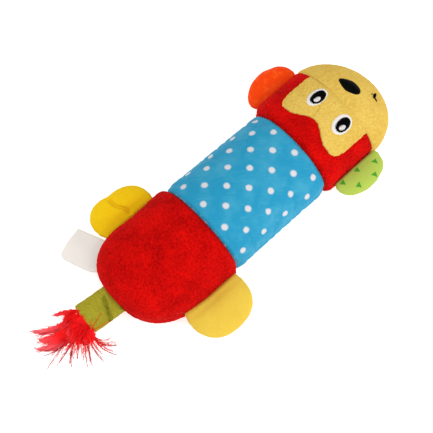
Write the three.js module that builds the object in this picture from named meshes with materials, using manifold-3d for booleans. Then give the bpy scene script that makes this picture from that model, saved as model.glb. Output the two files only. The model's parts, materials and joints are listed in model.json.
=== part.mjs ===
// Squeaky plush dog toy: a stuffed body of three sewn bands with an animal's face, two ears, two feet,
// a strap tail with a feather tuft, a sewn-in label and a squeaker inside the middle band.
// Millimetres, +Z up, +X towards the muzzle. The origin lies on the floor under the middle band.

import * as THREE from "three";
import { mergeVertices } from "three/addons/utils/BufferGeometryUtils.js";
import Module from "manifold-3d";

const wasm = await Module();
wasm.setup();

// Stuffed body
const bodyWidth = 76; // rear and head at their fullest
const bandWidth = 73; // the middle band is a little slimmer
const bodyHeight = 58;
const bandLength = 82;
const rearLength = 74;
const headLength = 42;
const muzzleLength = 35;
const rearRounding = 40; // length over which the rear end closes
const rearBluntness = 2.4; // exponent of the rear outline, 2 is an ellipse
const muzzleBluntness = 2;
const muzzleLean = -3; // the stuffed muzzle leans this far to the right at its tip
const shoulder = 14; // length over which rear and head swell out from the band
const seamPinch = 1.2; // how far a ring seam draws the body in
const pinchReach = 5;
const bellyFlat = 0.5; // the belly is pressed flat this deep where it lies
const skin = 1.6; // fabric with its pile
const fit = 0.3; // gap between pieces that touch

// Face
const patchThickness = 1.2;
const patchHalfWidth = 27;
const patchShift = -2.4; // the patch is sewn a little to the right of the middle
const patchLength = 30.3; // from the muzzle seam back to the tops of its two lobes
const patchLobeRadius = 8;
const patchLobeTurn = 205; // degrees, where a lobe's arc runs into the dip between the lobes
const patchBrowDip = 7.5; // how far the edge between the lobes runs forwards
const stitchHeight = 0.9; // relief of the embroidery
const leftEye = { behind: 10.6, aside: 8.5, length: 16.2, width: 10, turn: -4 };
const rightEye = { behind: 11.6, aside: -16.2, length: 16.4, width: 11, turn: 1 };
const pupilLength = 12.8;
const pupilWidth = 8.2;
const pupilForward = 0.2; // from the middle of the white towards the muzzle
const pupilAside = -0.5;
const highlightLength = 5.2;
const highlightWidth = 3.6;
const highlightTurn = -12;
const highlightBack = 1.8; // from the middle of the pupil towards the tail
const highlightAside = -1;
const noseLength = 16;
const noseWidth = 7.5;
const noseAhead = 12.3; // from the muzzle seam
const noseAside = 0.4;
const noseTurn = 8;
const mouthArm = 3.4;
const mouthArmWidth = 1.5;
const mouthTurn = 25; // degrees
const mouthAhead = 23;
const mouthAside = -14;

// Ears and feet: sewn into the side seams, with rounded roots that bend
const rootRadius = 1.5;
const flapSkin = 1.2;
const leftEar = { along: 24, halfLength: 19, reach: 15.7, halfThickness: 4, droop: 8, bluntness: 2.3 };
const rightEar = { along: 25, halfLength: 19, reach: 15.2, halfThickness: 4, droop: 8, bluntness: 2.3 };
const leftFoot = { along: -29.5, halfLength: 20.5, reach: 21.7, halfThickness: 8, droop: 14, bluntness: 2.6 };
const rightFoot = { along: -25.5, halfLength: 21.5, reach: 26, halfThickness: 8, droop: 14, bluntness: 2.6 };

// Tail, tuft and label
const tailWidth = 21;
const tailLength = 23;
const tailThickness = 3;
const tailAside = 6; // the tail is sewn a little to the left of the middle
const tailDroop = 22;
const tuftRootWidth = 15;
const tuftLongReach = 38;
const tuftShortReach = 26;
const tuftLongestAt = 4; // degrees from the tail's own direction
const tuftFalloff = 45; // degrees over which the clumps shorten
const tuftClumpRadius = 5;
const tuftClumps = 7;
const tuftFanStart = -18;
const tuftFanEnd = 85;
const tuftDroop = 16;
const tuftCurl = 4; // how far a clump's tip bends down below its straight line
const labelWidth = 20;
const labelLength = 26.5;
const labelThickness = 1;
const labelLean = 15.3; // degrees that the tape leans forwards from square to the seam
const labelAside = 31.5; // where on the rear outline it is sewn in
const labelDroop = 17;

// Squeaker
const bulbRadius = 23;
const bulbHeight = 21;
const bulbWall = 1.2;
const bulbBluntness = 2.6;
const neckRadius = 5.2;
const plugLength = 8.5;
const plugFlangeRadius = 7.5;
const plugFlangeThickness = 1.2;
const plugBoreRadius = 3.2;
const reedLength = 7;
const reedWidth = 4;
const reedThickness = 0.4;
const reedBack = 0.8; // from the middle of the bore to the flat that the reed lies against

// Facets
const ringSides = 24;
const flapSides = 14;
const curveSides = 8;

const half = 0.5;
const rearSeam = -bandLength * half;
const frontSeam = bandLength * half;
const muzzleSeam = frontSeam + headLength;
const rearRoundingStart = rearSeam - rearLength + rearRounding;
const seamHeight = bodyHeight * half - bellyFlat;
const past = 5; // overrun of a cutting solid
const radians = THREE.MathUtils.degToRad;

const cloth = (colour) => new THREE.MeshStandardMaterial({ color: colour, roughness: 0.95, metalness: 0 });
const redPlush = cloth(0xc41210);
const blueCotton = cloth(0x38a0d0);
const yellowPlush = cloth(0xe8c25c);
const footVelour = cloth(0xeac23c);
const orangeSatin = cloth(0xea5810);
const greenCotton = cloth(0xa4b94f);
const olivePlush = cloth(0xa4922e);
const redFeather = cloth(0xe83130);
const whiteSatin = cloth(0xe6e1de);
const whiteThread = cloth(0xf2f0ea);
const blackThread = cloth(0x141414);
const fibreFill = cloth(0xf4f4f0);
const clearPlastic = new THREE.MeshStandardMaterial({ color: 0xe9e9e4, roughness: 0.4, metalness: 0 });
const reedPlastic = new THREE.MeshStandardMaterial({ color: 0xf5f5f5, roughness: 0.3, metalness: 0 });

const toy = new THREE.Group();

function solid(geometry) {
  const bare = geometry.clone();
  bare.deleteAttribute("normal");
  bare.deleteAttribute("uv");
  const merged = mergeVertices(bare, 1e-4);
  return new wasm.Manifold(
    new wasm.Mesh({
      numProp: 3,
      vertProperties: new Float32Array(merged.attributes.position.array),
      triVerts: new Uint32Array(merged.index.array),
    }),
  );
}

function surface(body) {
  const { vertProperties, triVerts } = body.getMesh();
  const geometry = new THREE.BufferGeometry();
  geometry.setAttribute("position", new THREE.BufferAttribute(vertProperties, 3));
  geometry.setIndex(new THREE.BufferAttribute(triVerts, 1));
  geometry.computeVertexNormals();
  return geometry;
}

function add(name, geometry, material, parent = toy) {
  const mesh = new THREE.Mesh(geometry, material);
  mesh.name = name;
  parent.add(mesh);
}

// A box between two corners
function block(low, high) {
  const geometry = new THREE.BoxGeometry(high[0] - low[0], high[1] - low[1], high[2] - low[2]);
  geometry.translate((low[0] + high[0]) * half, (low[1] + high[1]) * half, (low[2] + high[2]) * half);
  return solid(geometry);
}

// A closed skin over rings of points that run anticlockwise about +X, closed to a point at each end
function loft(rings, startPoint, endPoint) {
  const sides = rings[0].length;
  const points = [...rings.flat(), startPoint, endPoint];
  const start = points.length - 2;
  const end = points.length - 1;
  const last = (rings.length - 1) * sides;
  const faces = [];
  for (let k = 0; k < sides; k += 1) {
    const next = (k + 1) % sides;
    faces.push(start, next, k, end, last + k, last + next);
    for (let row = 0; row < last; row += sides) {
      faces.push(row + k, row + next, row + sides + k, row + next, row + sides + next, row + sides + k);
    }
  }
  const geometry = new THREE.BufferGeometry().setFromPoints(points);
  geometry.setIndex(faces);
  return geometry;
}

function ring(x, halfWidth, halfHeight, sides, z = 0, y = 0) {
  return Array.from({ length: sides }, (_, k) => {
    const angle = (k / sides) * 2 * Math.PI;
    return new THREE.Vector3(x, y + halfWidth * Math.cos(angle), z + halfHeight * Math.sin(angle));
  });
}

// The body's width factor along a rounded end: 1 where it starts, 0 at the tip
function closing(share, bluntness) {
  return Math.max(1 - share ** bluntness, 0) ** (1 / bluntness);
}

function pinch(x) {
  const draws = [rearSeam, frontSeam, muzzleSeam].map((seam) => Math.exp(-(((x - seam) / pinchReach) ** 2)));
  return seamPinch * Math.max(...draws);
}

function bodyHalfWidth(x) {
  const swell = THREE.MathUtils.smoothstep(Math.abs(x) - bandLength * half, 0, shoulder);
  return THREE.MathUtils.lerp(bandWidth, bodyWidth, swell) * half;
}

// One ring of the body, grown outwards. On a rounded end it lies at its own place, aside and shrunk
function bodyRing(x, grow, shrink = 1, place = x, aside = 0) {
  const width = (bodyHalfWidth(x) + grow) * shrink - pinch(place);
  const height = (bodyHeight * half + grow) * shrink - pinch(place);
  return ring(place, width, height, ringSides, seamHeight, aside);
}

function spread(from, to, count) {
  return Array.from({ length: count + 1 }, (_, k) => from + ((to - from) * k) / count);
}

// Rings of a rounded end from its start towards the tip, without the tip itself
function endRings(start, length, bluntness, direction, grow, lean = 0) {
  const steps = 6;
  return spread(0, 1, steps)
    .slice(1, -1)
    .map((share) => {
      const along = Math.sin(share * Math.PI * half);
      const place = start + direction * along * (length + grow);
      return bodyRing(start, grow, closing(along, bluntness), place, lean * along);
    });
}

const middle = (x, aside = 0) => new THREE.Vector3(x, aside, seamHeight);

function rearForm(grow, to) {
  const round = endRings(rearRoundingStart, rearRounding, rearBluntness, -1, grow).reverse();
  const straight = spread(rearRoundingStart, rearSeam, 5).slice(0, -1);
  const stations = [...straight, rearSeam - pinchReach * half, to];
  const rings = [...round, ...stations.map((x) => bodyRing(x, grow))];
  return solid(loft(rings, middle(rearRoundingStart - rearRounding - grow), middle(to)));
}

function bandForm(grow, from, to) {
  const inner = spread(rearSeam + pinchReach * 2, frontSeam - pinchReach * 2, 4);
  const nearSeams = [rearSeam + pinchReach * half, frontSeam - pinchReach * half];
  const stations = [from, nearSeams[0], ...inner, nearSeams[1], to];
  return solid(loft(stations.map((x) => bodyRing(x, grow)), middle(from), middle(to)));
}

function headForm(grow, from, to) {
  const inner = spread(frontSeam + pinchReach * 2, muzzleSeam - pinchReach * 2, 3);
  const nearSeams = [frontSeam + pinchReach * half, muzzleSeam - pinchReach * half];
  const stations = [from, nearSeams[0], ...inner, nearSeams[1], to];
  return solid(loft(stations.map((x) => bodyRing(x, grow)), middle(from), middle(to)));
}

function muzzleForm(grow, from) {
  const round = endRings(muzzleSeam, muzzleLength, muzzleBluntness, 1, grow, muzzleLean);
  const rings = [bodyRing(muzzleSeam, grow, 1, from), ...round];
  return solid(loft(rings, middle(from), middle(muzzleSeam + muzzleLength + grow, muzzleLean)));
}

// The space above or below the side seams, from the floor up
const gap = fit * half; // each piece's share of the gap at a seam
const wide = bodyWidth + past;
const farEnd = bandLength + rearLength + headLength + muzzleLength;
const above = block([-farEnd, -wide, seamHeight + gap], [farEnd, wide, bodyHeight + past]);
const below = block([-farEnd, -wide, 0], [farEnd, wide, seamHeight - gap]);

function addPanels(topName, bottomName, outer, inner, material) {
  const shell = outer.subtract(inner);
  add(topName, surface(shell.intersect(above)), material);
  add(bottomName, surface(shell.intersect(below)), material);
}

addPanels(
  "rear_top_panel",
  "rear_bottom_panel",
  rearForm(0, rearSeam - gap),
  rearForm(-skin, rearSeam + past),
  redPlush,
);
addPanels(
  "band_top_panel",
  "band_bottom_panel",
  bandForm(0, rearSeam + gap, frontSeam - gap),
  bandForm(-skin, rearSeam - past, frontSeam + past),
  blueCotton,
);
addPanels(
  "head_top_panel",
  "head_bottom_panel",
  headForm(0, frontSeam + gap, muzzleSeam - gap),
  headForm(-skin, frontSeam - past, muzzleSeam + past),
  redPlush,
);
addPanels(
  "muzzle_top_panel",
  "muzzle_chin_panel",
  muzzleForm(0, muzzleSeam + gap),
  muzzleForm(-skin, muzzleSeam - past),
  yellowPlush,
);

// Flat outlines, in the XY plane, pressed onto the body as thin layers
function oval(x, y, length, width, turn) {
  const shape = new THREE.Shape();
  shape.absellipse(x, y, length * half, width * half, 0, 2 * Math.PI, false, radians(turn));
  return shape;
}

function column(shape) {
  const depth = bodyHeight;
  const geometry = new THREE.ExtrudeGeometry(shape, { depth, bevelEnabled: false, curveSegments: curveSides });
  geometry.translate(0, 0, seamHeight);
  return solid(geometry);
}

function layer(form, lift, thickness) {
  return form(lift + thickness).subtract(form(lift));
}

const headLayer = (lift, thickness) =>
  layer((grow) => headForm(grow, frontSeam + gap, muzzleSeam - gap), lift, thickness);
const muzzleLayer = (lift, thickness) => layer((grow) => muzzleForm(grow, muzzleSeam + gap), lift, thickness);

function patchShape() {
  const lobeX = muzzleSeam - patchLength + patchLobeRadius;
  const lobeSide = patchHalfWidth - patchLobeRadius;
  const dipX = muzzleSeam - patchLength + patchBrowDip;
  const left = patchShift + patchHalfWidth;
  const right = patchShift - patchHalfWidth;
  const lobeEnd = radians(patchLobeTurn);
  const shape = new THREE.Shape();
  shape.moveTo(muzzleSeam + past, left);
  shape.lineTo(lobeX, left);
  shape.absarc(lobeX, patchShift + lobeSide, patchLobeRadius, Math.PI * half, lobeEnd, false);
  shape.quadraticCurveTo(dipX, patchShift + patchLobeRadius * half, dipX, patchShift);
  const lobeTop = lobeX + patchLobeRadius * Math.cos(lobeEnd);
  const lobeIn = patchShift - lobeSide - patchLobeRadius * Math.sin(lobeEnd);
  shape.quadraticCurveTo(dipX, patchShift - patchLobeRadius * half, lobeTop, lobeIn);
  shape.absarc(lobeX, patchShift - lobeSide, patchLobeRadius, -lobeEnd, -Math.PI * half, false);
  shape.lineTo(muzzleSeam + past, right);
  return shape;
}

add("face_patch", surface(headLayer(fit, patchThickness).intersect(column(patchShape()))), yellowPlush);

// Embroidered eyes: the pupil fills a hole in the white, and the highlight one in the pupil
const eyeLayer = headLayer(fit + patchThickness + fit, stitchHeight);

function addEye(side, eye) {
  const x = muzzleSeam - eye.behind;
  const y = eye.aside;
  const pupilX = x + pupilForward;
  const pupilY = y + pupilAside;
  const lightX = pupilX - highlightBack;
  const lightY = pupilY + highlightAside;
  const pupil = (spare) => column(oval(pupilX, pupilY, pupilLength + spare, pupilWidth + spare, eye.turn));
  const light = (spare) =>
    column(oval(lightX, lightY, highlightLength + spare, highlightWidth + spare, highlightTurn));
  const white = column(oval(x, y, eye.length, eye.width, eye.turn)).subtract(pupil(fit * 2));
  add(`${side}_eye_white`, surface(eyeLayer.intersect(white)), whiteThread);
  add(`${side}_eye_pupil`, surface(eyeLayer.intersect(pupil(0).subtract(light(fit * 2)))), blackThread);
  add(`${side}_eye_highlight`, surface(eyeLayer.intersect(light(0))), whiteThread);
}
addEye("left", leftEye);
addEye("right", rightEye);

const noseColumn = column(oval(muzzleSeam + noseAhead, noseAside, noseWidth, noseLength, noseTurn));
add("nose", surface(muzzleLayer(fit, stitchHeight).intersect(noseColumn)), blackThread);

// Two crossed stitches
function mouthBar(turn) {
  const bar = new THREE.BoxGeometry(mouthArm * 2, mouthArmWidth, bodyHeight);
  bar.rotateZ(radians(turn));
  bar.translate(muzzleSeam + mouthAhead, mouthAside, seamHeight + bodyHeight * half);
  return solid(bar);
}
const mouth = mouthBar(mouthTurn).add(mouthBar(mouthTurn - 90));
add("mouth_stitch", surface(muzzleLayer(fit, stitchHeight).intersect(mouth)), blackThread);

// A stuffed flap that swells from its sewn round root and closes round its edge. It reaches along +X
function pillow(flap, inset, root) {
  const steps = 6;
  const rootAngles = [80, 45];
  const reach = flap.reach - inset * 2;
  const halfLength = flap.halfLength - inset;
  const fullness = flap.halfThickness - inset;
  const rootRings = rootAngles.map((degrees) => {
    const tuck = root * Math.sin(radians(degrees));
    return ring(inset - tuck, halfLength, root * Math.cos(radians(degrees)), flapSides);
  });
  const rings = spread(0, 1, steps)
    .slice(0, -1)
    .map((share) => {
      const along = Math.sin(share * Math.PI * half);
      const swell = Math.sin(Math.min(along * 2, 1) * Math.PI * half);
      const thick = THREE.MathUtils.lerp(root, fullness, swell) * closing(Math.max(along * 2 - 1, 0), 2);
      return ring(inset + along * reach, halfLength * closing(along, flap.bluntness), thick, flapSides);
    });
  const start = new THREE.Vector3(inset - root, 0, 0);
  return solid(loft([...rootRings, ...rings], start, new THREE.Vector3(inset + reach, 0, 0)));
}

function placed(x, y, yaw, droop) {
  const group = new THREE.Group();
  group.position.set(x, y, seamHeight);
  group.rotation.set(0, radians(droop), radians(yaw), "ZYX");
  toy.add(group);
  return group;
}

function addFlap(name, layers, flap, seam, side, material) {
  const hinge = side * (bodyWidth * half + fit + rootRadius);
  const group = placed(seam + flap.along, hinge, side * 90, flap.droop);
  const innerRoot = rootRadius * half;
  const shell = pillow(flap, 0, rootRadius).subtract(pillow(flap, flapSkin, innerRoot));
  const size = flap.reach + flap.halfLength;
  const upper = block([-size, -size, gap], [size, size, size]);
  const lower = block([-size, -size, -size], [size, size, -gap]);
  add(`${name}_${layers[0]}`, surface(shell.intersect(upper)), material, group);
  add(`${name}_${layers[1]}`, surface(shell.intersect(lower)), material, group);
  add(`${name}_${layers[2]}`, surface(pillow(flap, flapSkin + fit, innerRoot - fit)), fibreFill, group);
}

const earLayers = ["front", "back", "wadding"];
const footLayers = ["top", "sole", "stuffing"];
addFlap("left_ear", earLayers, leftEar, frontSeam, 1, orangeSatin);
addFlap("right_ear", earLayers, rightEar, frontSeam, -1, greenCotton);
addFlap("left_foot", footLayers, leftFoot, rearSeam, 1, footVelour);
addFlap("right_foot", footLayers, rightFoot, rearSeam, -1, footVelour);

// A point on the rear end's seam line, moved out by a clearance, with the direction it faces
function rearSeat(aside, clearance) {
  const halfWidth = bodyWidth * half;
  const across = aside / halfWidth;
  const share = closing(across, rearBluntness);
  const steep = rearBluntness - 1;
  const facing = new THREE.Vector2(-(share ** steep) / rearRounding, across ** steep / halfWidth).normalize();
  const x = rearRoundingStart - share * rearRounding + facing.x * clearance;
  const y = aside + facing.y * clearance;
  return { x, y, yaw: THREE.MathUtils.radToDeg(facing.angle()) };
}

// The strap's side profile, round at its root, drawn along +X and pulled out to its width
function addTail() {
  const radius = tailThickness * half;
  const seat = rearSeat(tailAside, radius + fit);
  const tail = placed(seat.x, seat.y, seat.yaw, tailDroop);
  const profile = new THREE.Shape();
  profile.moveTo(tailLength, -radius);
  profile.lineTo(tailLength, radius);
  profile.lineTo(0, radius);
  profile.absarc(0, 0, radius, Math.PI * half, Math.PI * (1 + half), false);
  const options = { depth: tailWidth, bevelEnabled: false, curveSegments: curveSides };
  const strap = new THREE.ExtrudeGeometry(profile, options);
  strap.translate(0, 0, -tailWidth * half);
  strap.rotateX(Math.PI * half);
  add("tail_strap", strap, olivePlush, tail);
  addTuft(tail, radius);
}

// Feather clumps that fan out from a tied root at the strap's end
function addTuft(tail, rootSize) {
  const rootSides = 12;
  const tuft = new THREE.Group();
  tuft.position.set(tailLength + fit + rootSize, 0, 0);
  tuft.rotation.y = radians(-tailDroop);
  tail.add(tuft);
  const halfRoot = tuftRootWidth * half;
  let feathers = solid(new THREE.CylinderGeometry(rootSize, rootSize, tuftRootWidth, rootSides));
  spread(tuftFanStart, tuftFanEnd, tuftClumps - 1).forEach((angle, index) => {
    const falloff = THREE.MathUtils.smoothstep(Math.abs(angle - tuftLongestAt), 0, tuftFalloff);
    const reach = THREE.MathUtils.lerp(tuftLongReach, tuftShortReach, falloff);
    const aside = THREE.MathUtils.lerp(rootSize - halfRoot, halfRoot - rootSize, index / (tuftClumps - 1));
    feathers = feathers.add(clump(reach, rootSize, angle, aside));
  });
  add("tail_tuft", surface(feathers), redFeather, tuft);
}

// One leaf-shaped clump of barbs, swollen in the middle and bent down towards its tip
function clump(reach, rootSize, angle, aside) {
  const sides = 8;
  const shares = [0, 0.25, 0.5, 0.75, 0.95];
  const rings = shares.map((share) => {
    const size = THREE.MathUtils.lerp(rootSize * half, tuftClumpRadius, Math.sin(share * Math.PI));
    return ring(share * reach, size, size * half, sides, -tuftCurl * share * share);
  });
  const geometry = loft(rings, new THREE.Vector3(), new THREE.Vector3(reach, 0, -tuftCurl));
  geometry.rotateY(radians(tuftDroop));
  geometry.rotateZ(radians(angle));
  geometry.translate(rootSize * half, aside, 0);
  return solid(geometry);
}
addTail();

// A folded tape that leans in its seam: its root is cut along the seam, its free end is square
function addLabel() {
  const seat = rearSeat(labelAside, labelThickness * half + fit);
  const rootSpare = labelWidth;
  const tape = new THREE.BoxGeometry(labelLength + rootSpare, labelWidth, labelThickness);
  tape.translate((labelLength - rootSpare) * half, 0, 0);
  tape.rotateZ(radians(-labelLean));
  const size = labelLength + labelWidth;
  const outside = block([0, -size, -size], [size, size, size]);
  const group = placed(seat.x, seat.y, seat.yaw, labelDroop);
  add("care_label", surface(solid(tape).intersect(outside)), whiteSatin, group);
}
addLabel();

// An upright cylinder on the squeaker's axis, between two heights from its middle
function post(radius, low, high) {
  const sides = 16;
  const geometry = new THREE.CylinderGeometry(radius, radius, high - low, sides);
  geometry.rotateX(Math.PI * half);
  geometry.translate(0, 0, seamHeight + (low + high) * half);
  return solid(geometry);
}

// The squeaker's pancake bulb, grown outwards, turned about its upright axis
function bulbForm(grow) {
  const sides = 20;
  const steps = 10;
  const outline = spread(-90, 90, steps).map((degrees) => {
    const up = Math.sin(radians(degrees));
    const radius = (bulbRadius + grow) * closing(Math.abs(up), bulbBluntness);
    return new THREE.Vector2(radius, (bulbHeight * half + grow) * up);
  });
  const geometry = new THREE.LatheGeometry(outline, sides);
  geometry.rotateX(Math.PI * half);
  geometry.translate(0, 0, seamHeight);
  return solid(geometry);
}

const bulbBottom = -bulbHeight * half;
const flangeTop = bulbBottom - fit;
const flangeBottom = flangeTop - plugFlangeThickness;

function addSqueaker() {
  const neck = post(neckRadius, bulbBottom - past, 0);
  const bulb = bulbForm(0).subtract(bulbForm(-bulbWall)).subtract(neck);
  add("squeaker_bulb", surface(bulb), clearPlastic);
  const flange = post(plugFlangeRadius, flangeBottom, flangeTop);
  const stem = post(neckRadius - fit, flangeBottom, flangeBottom + plugLength);
  const flat = block([-reedBack, -past, 0], [past, past, bodyHeight]);
  const bore = post(plugBoreRadius, -bodyHeight, bodyHeight).intersect(flat);
  add("squeaker_plug", surface(flange.add(stem).subtract(bore)), clearPlastic);
  const reed = new THREE.BoxGeometry(reedThickness, reedWidth, reedLength);
  const reedX = -reedBack + fit + reedThickness * half;
  reed.translate(reedX, 0, seamHeight + flangeBottom + plugLength - reedLength * half);
  add("squeaker_reed", reed, reedPlastic);
}
addSqueaker();

// Polyester fill, packed in front of, behind, over and under the squeaker
function addStuffing() {
  const grow = -skin - fit;
  add("rear_stuffing", surface(rearForm(grow, rearSeam - gap)), fibreFill);
  const muzzleFill = muzzleForm(grow, muzzleSeam - gap);
  const headFill = headForm(grow, frontSeam + gap, muzzleSeam + gap);
  add("head_stuffing", surface(headFill.add(muzzleFill)), fibreFill);
  const pocket = bulbForm(fit).add(post(plugFlangeRadius + fit, flangeBottom - fit, 0));
  const bandFill = bandForm(grow, rearSeam + gap, frontSeam - gap).subtract(pocket);
  add("band_upper_stuffing", surface(bandFill.intersect(above)), fibreFill);
  add("band_lower_stuffing", surface(bandFill.intersect(below)), fibreFill);
}
addStuffing();

export default toy;
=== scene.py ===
"""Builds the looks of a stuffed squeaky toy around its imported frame.

The file is laid out as an add-on and run as a script. Lengths are in metres, in the frame's own axes:
the muzzle points along +X, the left side is +Y, and the toy lies on the floor at Z = 0.
"""

import json
import math
import random
from functools import partial

import bmesh
import bpy
from bpy.props import FloatProperty, FloatVectorProperty, IntProperty, PointerProperty
from mathutils import Matrix, Vector, noise
from mathutils.bvhtree import BVHTree
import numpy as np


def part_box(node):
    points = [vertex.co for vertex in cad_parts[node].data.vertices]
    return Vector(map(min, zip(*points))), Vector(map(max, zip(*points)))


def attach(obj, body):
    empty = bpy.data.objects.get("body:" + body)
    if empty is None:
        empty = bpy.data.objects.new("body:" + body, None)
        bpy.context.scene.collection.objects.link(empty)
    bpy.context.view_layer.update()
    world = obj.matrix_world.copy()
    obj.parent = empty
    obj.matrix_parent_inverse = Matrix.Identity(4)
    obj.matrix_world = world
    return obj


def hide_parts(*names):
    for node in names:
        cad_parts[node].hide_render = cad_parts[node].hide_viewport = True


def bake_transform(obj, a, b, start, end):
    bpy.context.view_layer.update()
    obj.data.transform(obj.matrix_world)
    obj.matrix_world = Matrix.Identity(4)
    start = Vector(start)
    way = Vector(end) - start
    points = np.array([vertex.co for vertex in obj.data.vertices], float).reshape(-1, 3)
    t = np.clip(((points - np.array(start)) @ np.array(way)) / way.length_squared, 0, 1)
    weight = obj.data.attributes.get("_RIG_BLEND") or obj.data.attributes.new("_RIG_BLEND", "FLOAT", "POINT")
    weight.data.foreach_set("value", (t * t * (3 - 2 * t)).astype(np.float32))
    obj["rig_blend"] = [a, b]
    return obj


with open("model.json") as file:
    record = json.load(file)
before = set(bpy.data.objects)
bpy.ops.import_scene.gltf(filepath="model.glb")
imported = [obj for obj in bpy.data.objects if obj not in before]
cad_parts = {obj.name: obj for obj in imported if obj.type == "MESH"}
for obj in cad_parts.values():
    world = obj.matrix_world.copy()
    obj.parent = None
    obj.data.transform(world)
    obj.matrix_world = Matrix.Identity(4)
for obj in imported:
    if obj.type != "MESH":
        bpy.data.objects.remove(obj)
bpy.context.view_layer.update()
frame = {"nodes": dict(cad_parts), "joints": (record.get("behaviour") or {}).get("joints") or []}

bl_info = {
    "name": "Plush Toy Looks",
    "version": (1, 0, 0),
    "blender": (4, 5, 0),
    "location": "View3D > Sidebar > Plush Toy",
    "description": "Builds the cloth, stitching and filling of a stuffed squeaky toy",
    "category": "Object",
}

MM = 0.001
UP = Vector((0, 0, 1))
WELD = 0.00002
RAY_START = 0.5
# At a scale of 1, a wave texture repeats after this length
WAVE_LENGTH = 0.314

# The body's main places, taken from the frame
rear_low, rear_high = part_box("rear_top_panel")
band_low, band_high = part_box("band_top_panel")
head_low, head_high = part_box("head_top_panel")
muzzle_low, muzzle_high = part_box("muzzle_top_panel")
hinges = {joint["name"]: joint for joint in frame["joints"]}

REAR_END = rear_low.x
REAR_SEAM = (rear_high.x + band_low.x) / 2
FRONT_SEAM = (band_high.x + head_low.x) / 2
MUZZLE_SEAM = (head_high.x + muzzle_low.x) / 2
MUZZLE_END = muzzle_high.x
# How strongly each ring seam draws the cloth in: the muzzle's is almost flat under the face patch
RING_SEAMS = {REAR_SEAM: 1.0, FRONT_SEAM: 1.0, MUZZLE_SEAM: 0.15}
SIDE_HEIGHT = hinges["left_ear_flap"]["pos_m"][2]
HALF_HEIGHT = rear_high.z - SIDE_HEIGHT
HALF_WIDTH = rear_high.y
BAND_HALF_WIDTH = band_high.y
BAND_LENGTH = FRONT_SEAM - REAR_SEAM

# Steps along an ellipse are made even with one sine term
SECTION_EASE = (HALF_WIDTH**2 - HALF_HEIGHT**2) / (HALF_WIDTH**2 + HALF_HEIGHT**2) / 4
GIRTH = 2 * math.pi * math.hypot(BAND_HALF_WIDTH, HALF_HEIGHT) / math.sqrt(2)

# Cloth is simulated larger than life, because the solver is tuned for cushions
SIM_SCALE = 10
SIM_STEPS = 24

# Surfaces that later pieces are laid on or fitted to: the skins, the face patch and the strap
forms = {}


def linear(hex_colour):
    """Turns an sRGB hex colour into linear red, green and blue."""
    channels = [int(hex_colour[place:place + 2], 16) / 255 for place in (1, 3, 5)]
    return tuple(c / 12.92 if c <= 0.04045 else ((c + 0.055) / 1.055) ** 2.4 for c in channels)


def size(name, description, default):
    """A length that a user may change."""
    return FloatProperty(
        name=name, description=description, default=default, unit="LENGTH", precision=5, step=0.01
    )


def angle(name, description, degrees):
    """An angle that a user may change, given in degrees."""
    return FloatProperty(
        name=name, description=description, default=math.radians(degrees), subtype="ANGLE"
    )


def colour(name, description, hex_colour):
    """A colour that a user may change, given as sRGB hex."""
    return FloatVectorProperty(
        name=name, description=description, default=linear(hex_colour),
        subtype="COLOR", size=3, min=0, max=1,
    )


class ToyBodySizes(bpy.types.PropertyGroup):
    """Sizes of the stuffed tube and its cloth"""

    rear_rounding: size("Rear rounding", "Length over which the rear end closes", 0.040)
    rear_bluntness: FloatProperty(
        name="Rear bluntness", description="How square the rear end is, 2 being round", default=2.4
    )
    muzzle_bluntness: FloatProperty(
        name="Muzzle bluntness", description="How square the muzzle is, 2 being round", default=2.0
    )
    shoulder: size("Shoulder", "Length over which the body widens beside the band", 0.005)
    seam_pinch: size("Seam pinch", "How far a ring seam draws the cloth in", 0.0012)
    cotton_reach: size("Cotton reach", "How far from a ring seam the cotton is drawn in", 0.005)
    plush_reach: size("Plush reach", "How far from a ring seam the plush is drawn in", 0.002)
    side_pinch: size("Side pinch", "How far the side seams draw the cloth in", 0.0008)
    side_reach: size("Side reach", "How far from a side seam the cloth is drawn in", 0.004)
    left_tuck: size("Left tuck", "How far the band is drawn in behind the left ear", 0.0025)
    rear_lean: size("Rear lean", "How far the rear end leans to the left", 0.0038)
    muzzle_lean: size("Muzzle lean", "How far the muzzle leans to the left, below 0 to the right", -0.0040)
    muzzle_trim: size("Muzzle trim", "How much shorter the filled muzzle is than its pattern", 0.0018)
    groove_depth: size("Groove depth", "Depth of the line where two cloths meet", 0.0011)
    groove_reach: size("Groove reach", "Half the width of that line", 0.0011)
    grid: size("Cloth grid", "Step of the cloth before it is refined", 0.0013)
    pile_height: size("Pile height", "How far the red pile rises and sinks", 0.00034)
    pile_nub: size("Pile nub", "Width of one clump of red pile", 0.0010)
    velour_height: size("Velour height", "How far the yellow pile rises and sinks", 0.00014)
    velour_nub: size("Velour nub", "Width of one clump of yellow pile", 0.0012)
    spare: FloatProperty(
        name="Spare cloth", description="Share of extra cloth that gathers at the seams", default=0.03
    )
    pressure: FloatProperty(
        name="Stuffing pressure", description="Pressure of the stuffing in the simulation", default=6.0
    )
    swell_limit: size("Swell limit", "How far a point of the body's cloth may move", 0.0016)
    squeeze_ease: size("Squeeze ease", "Length over which a squeeze fades towards a ring seam", 0.030)


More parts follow.
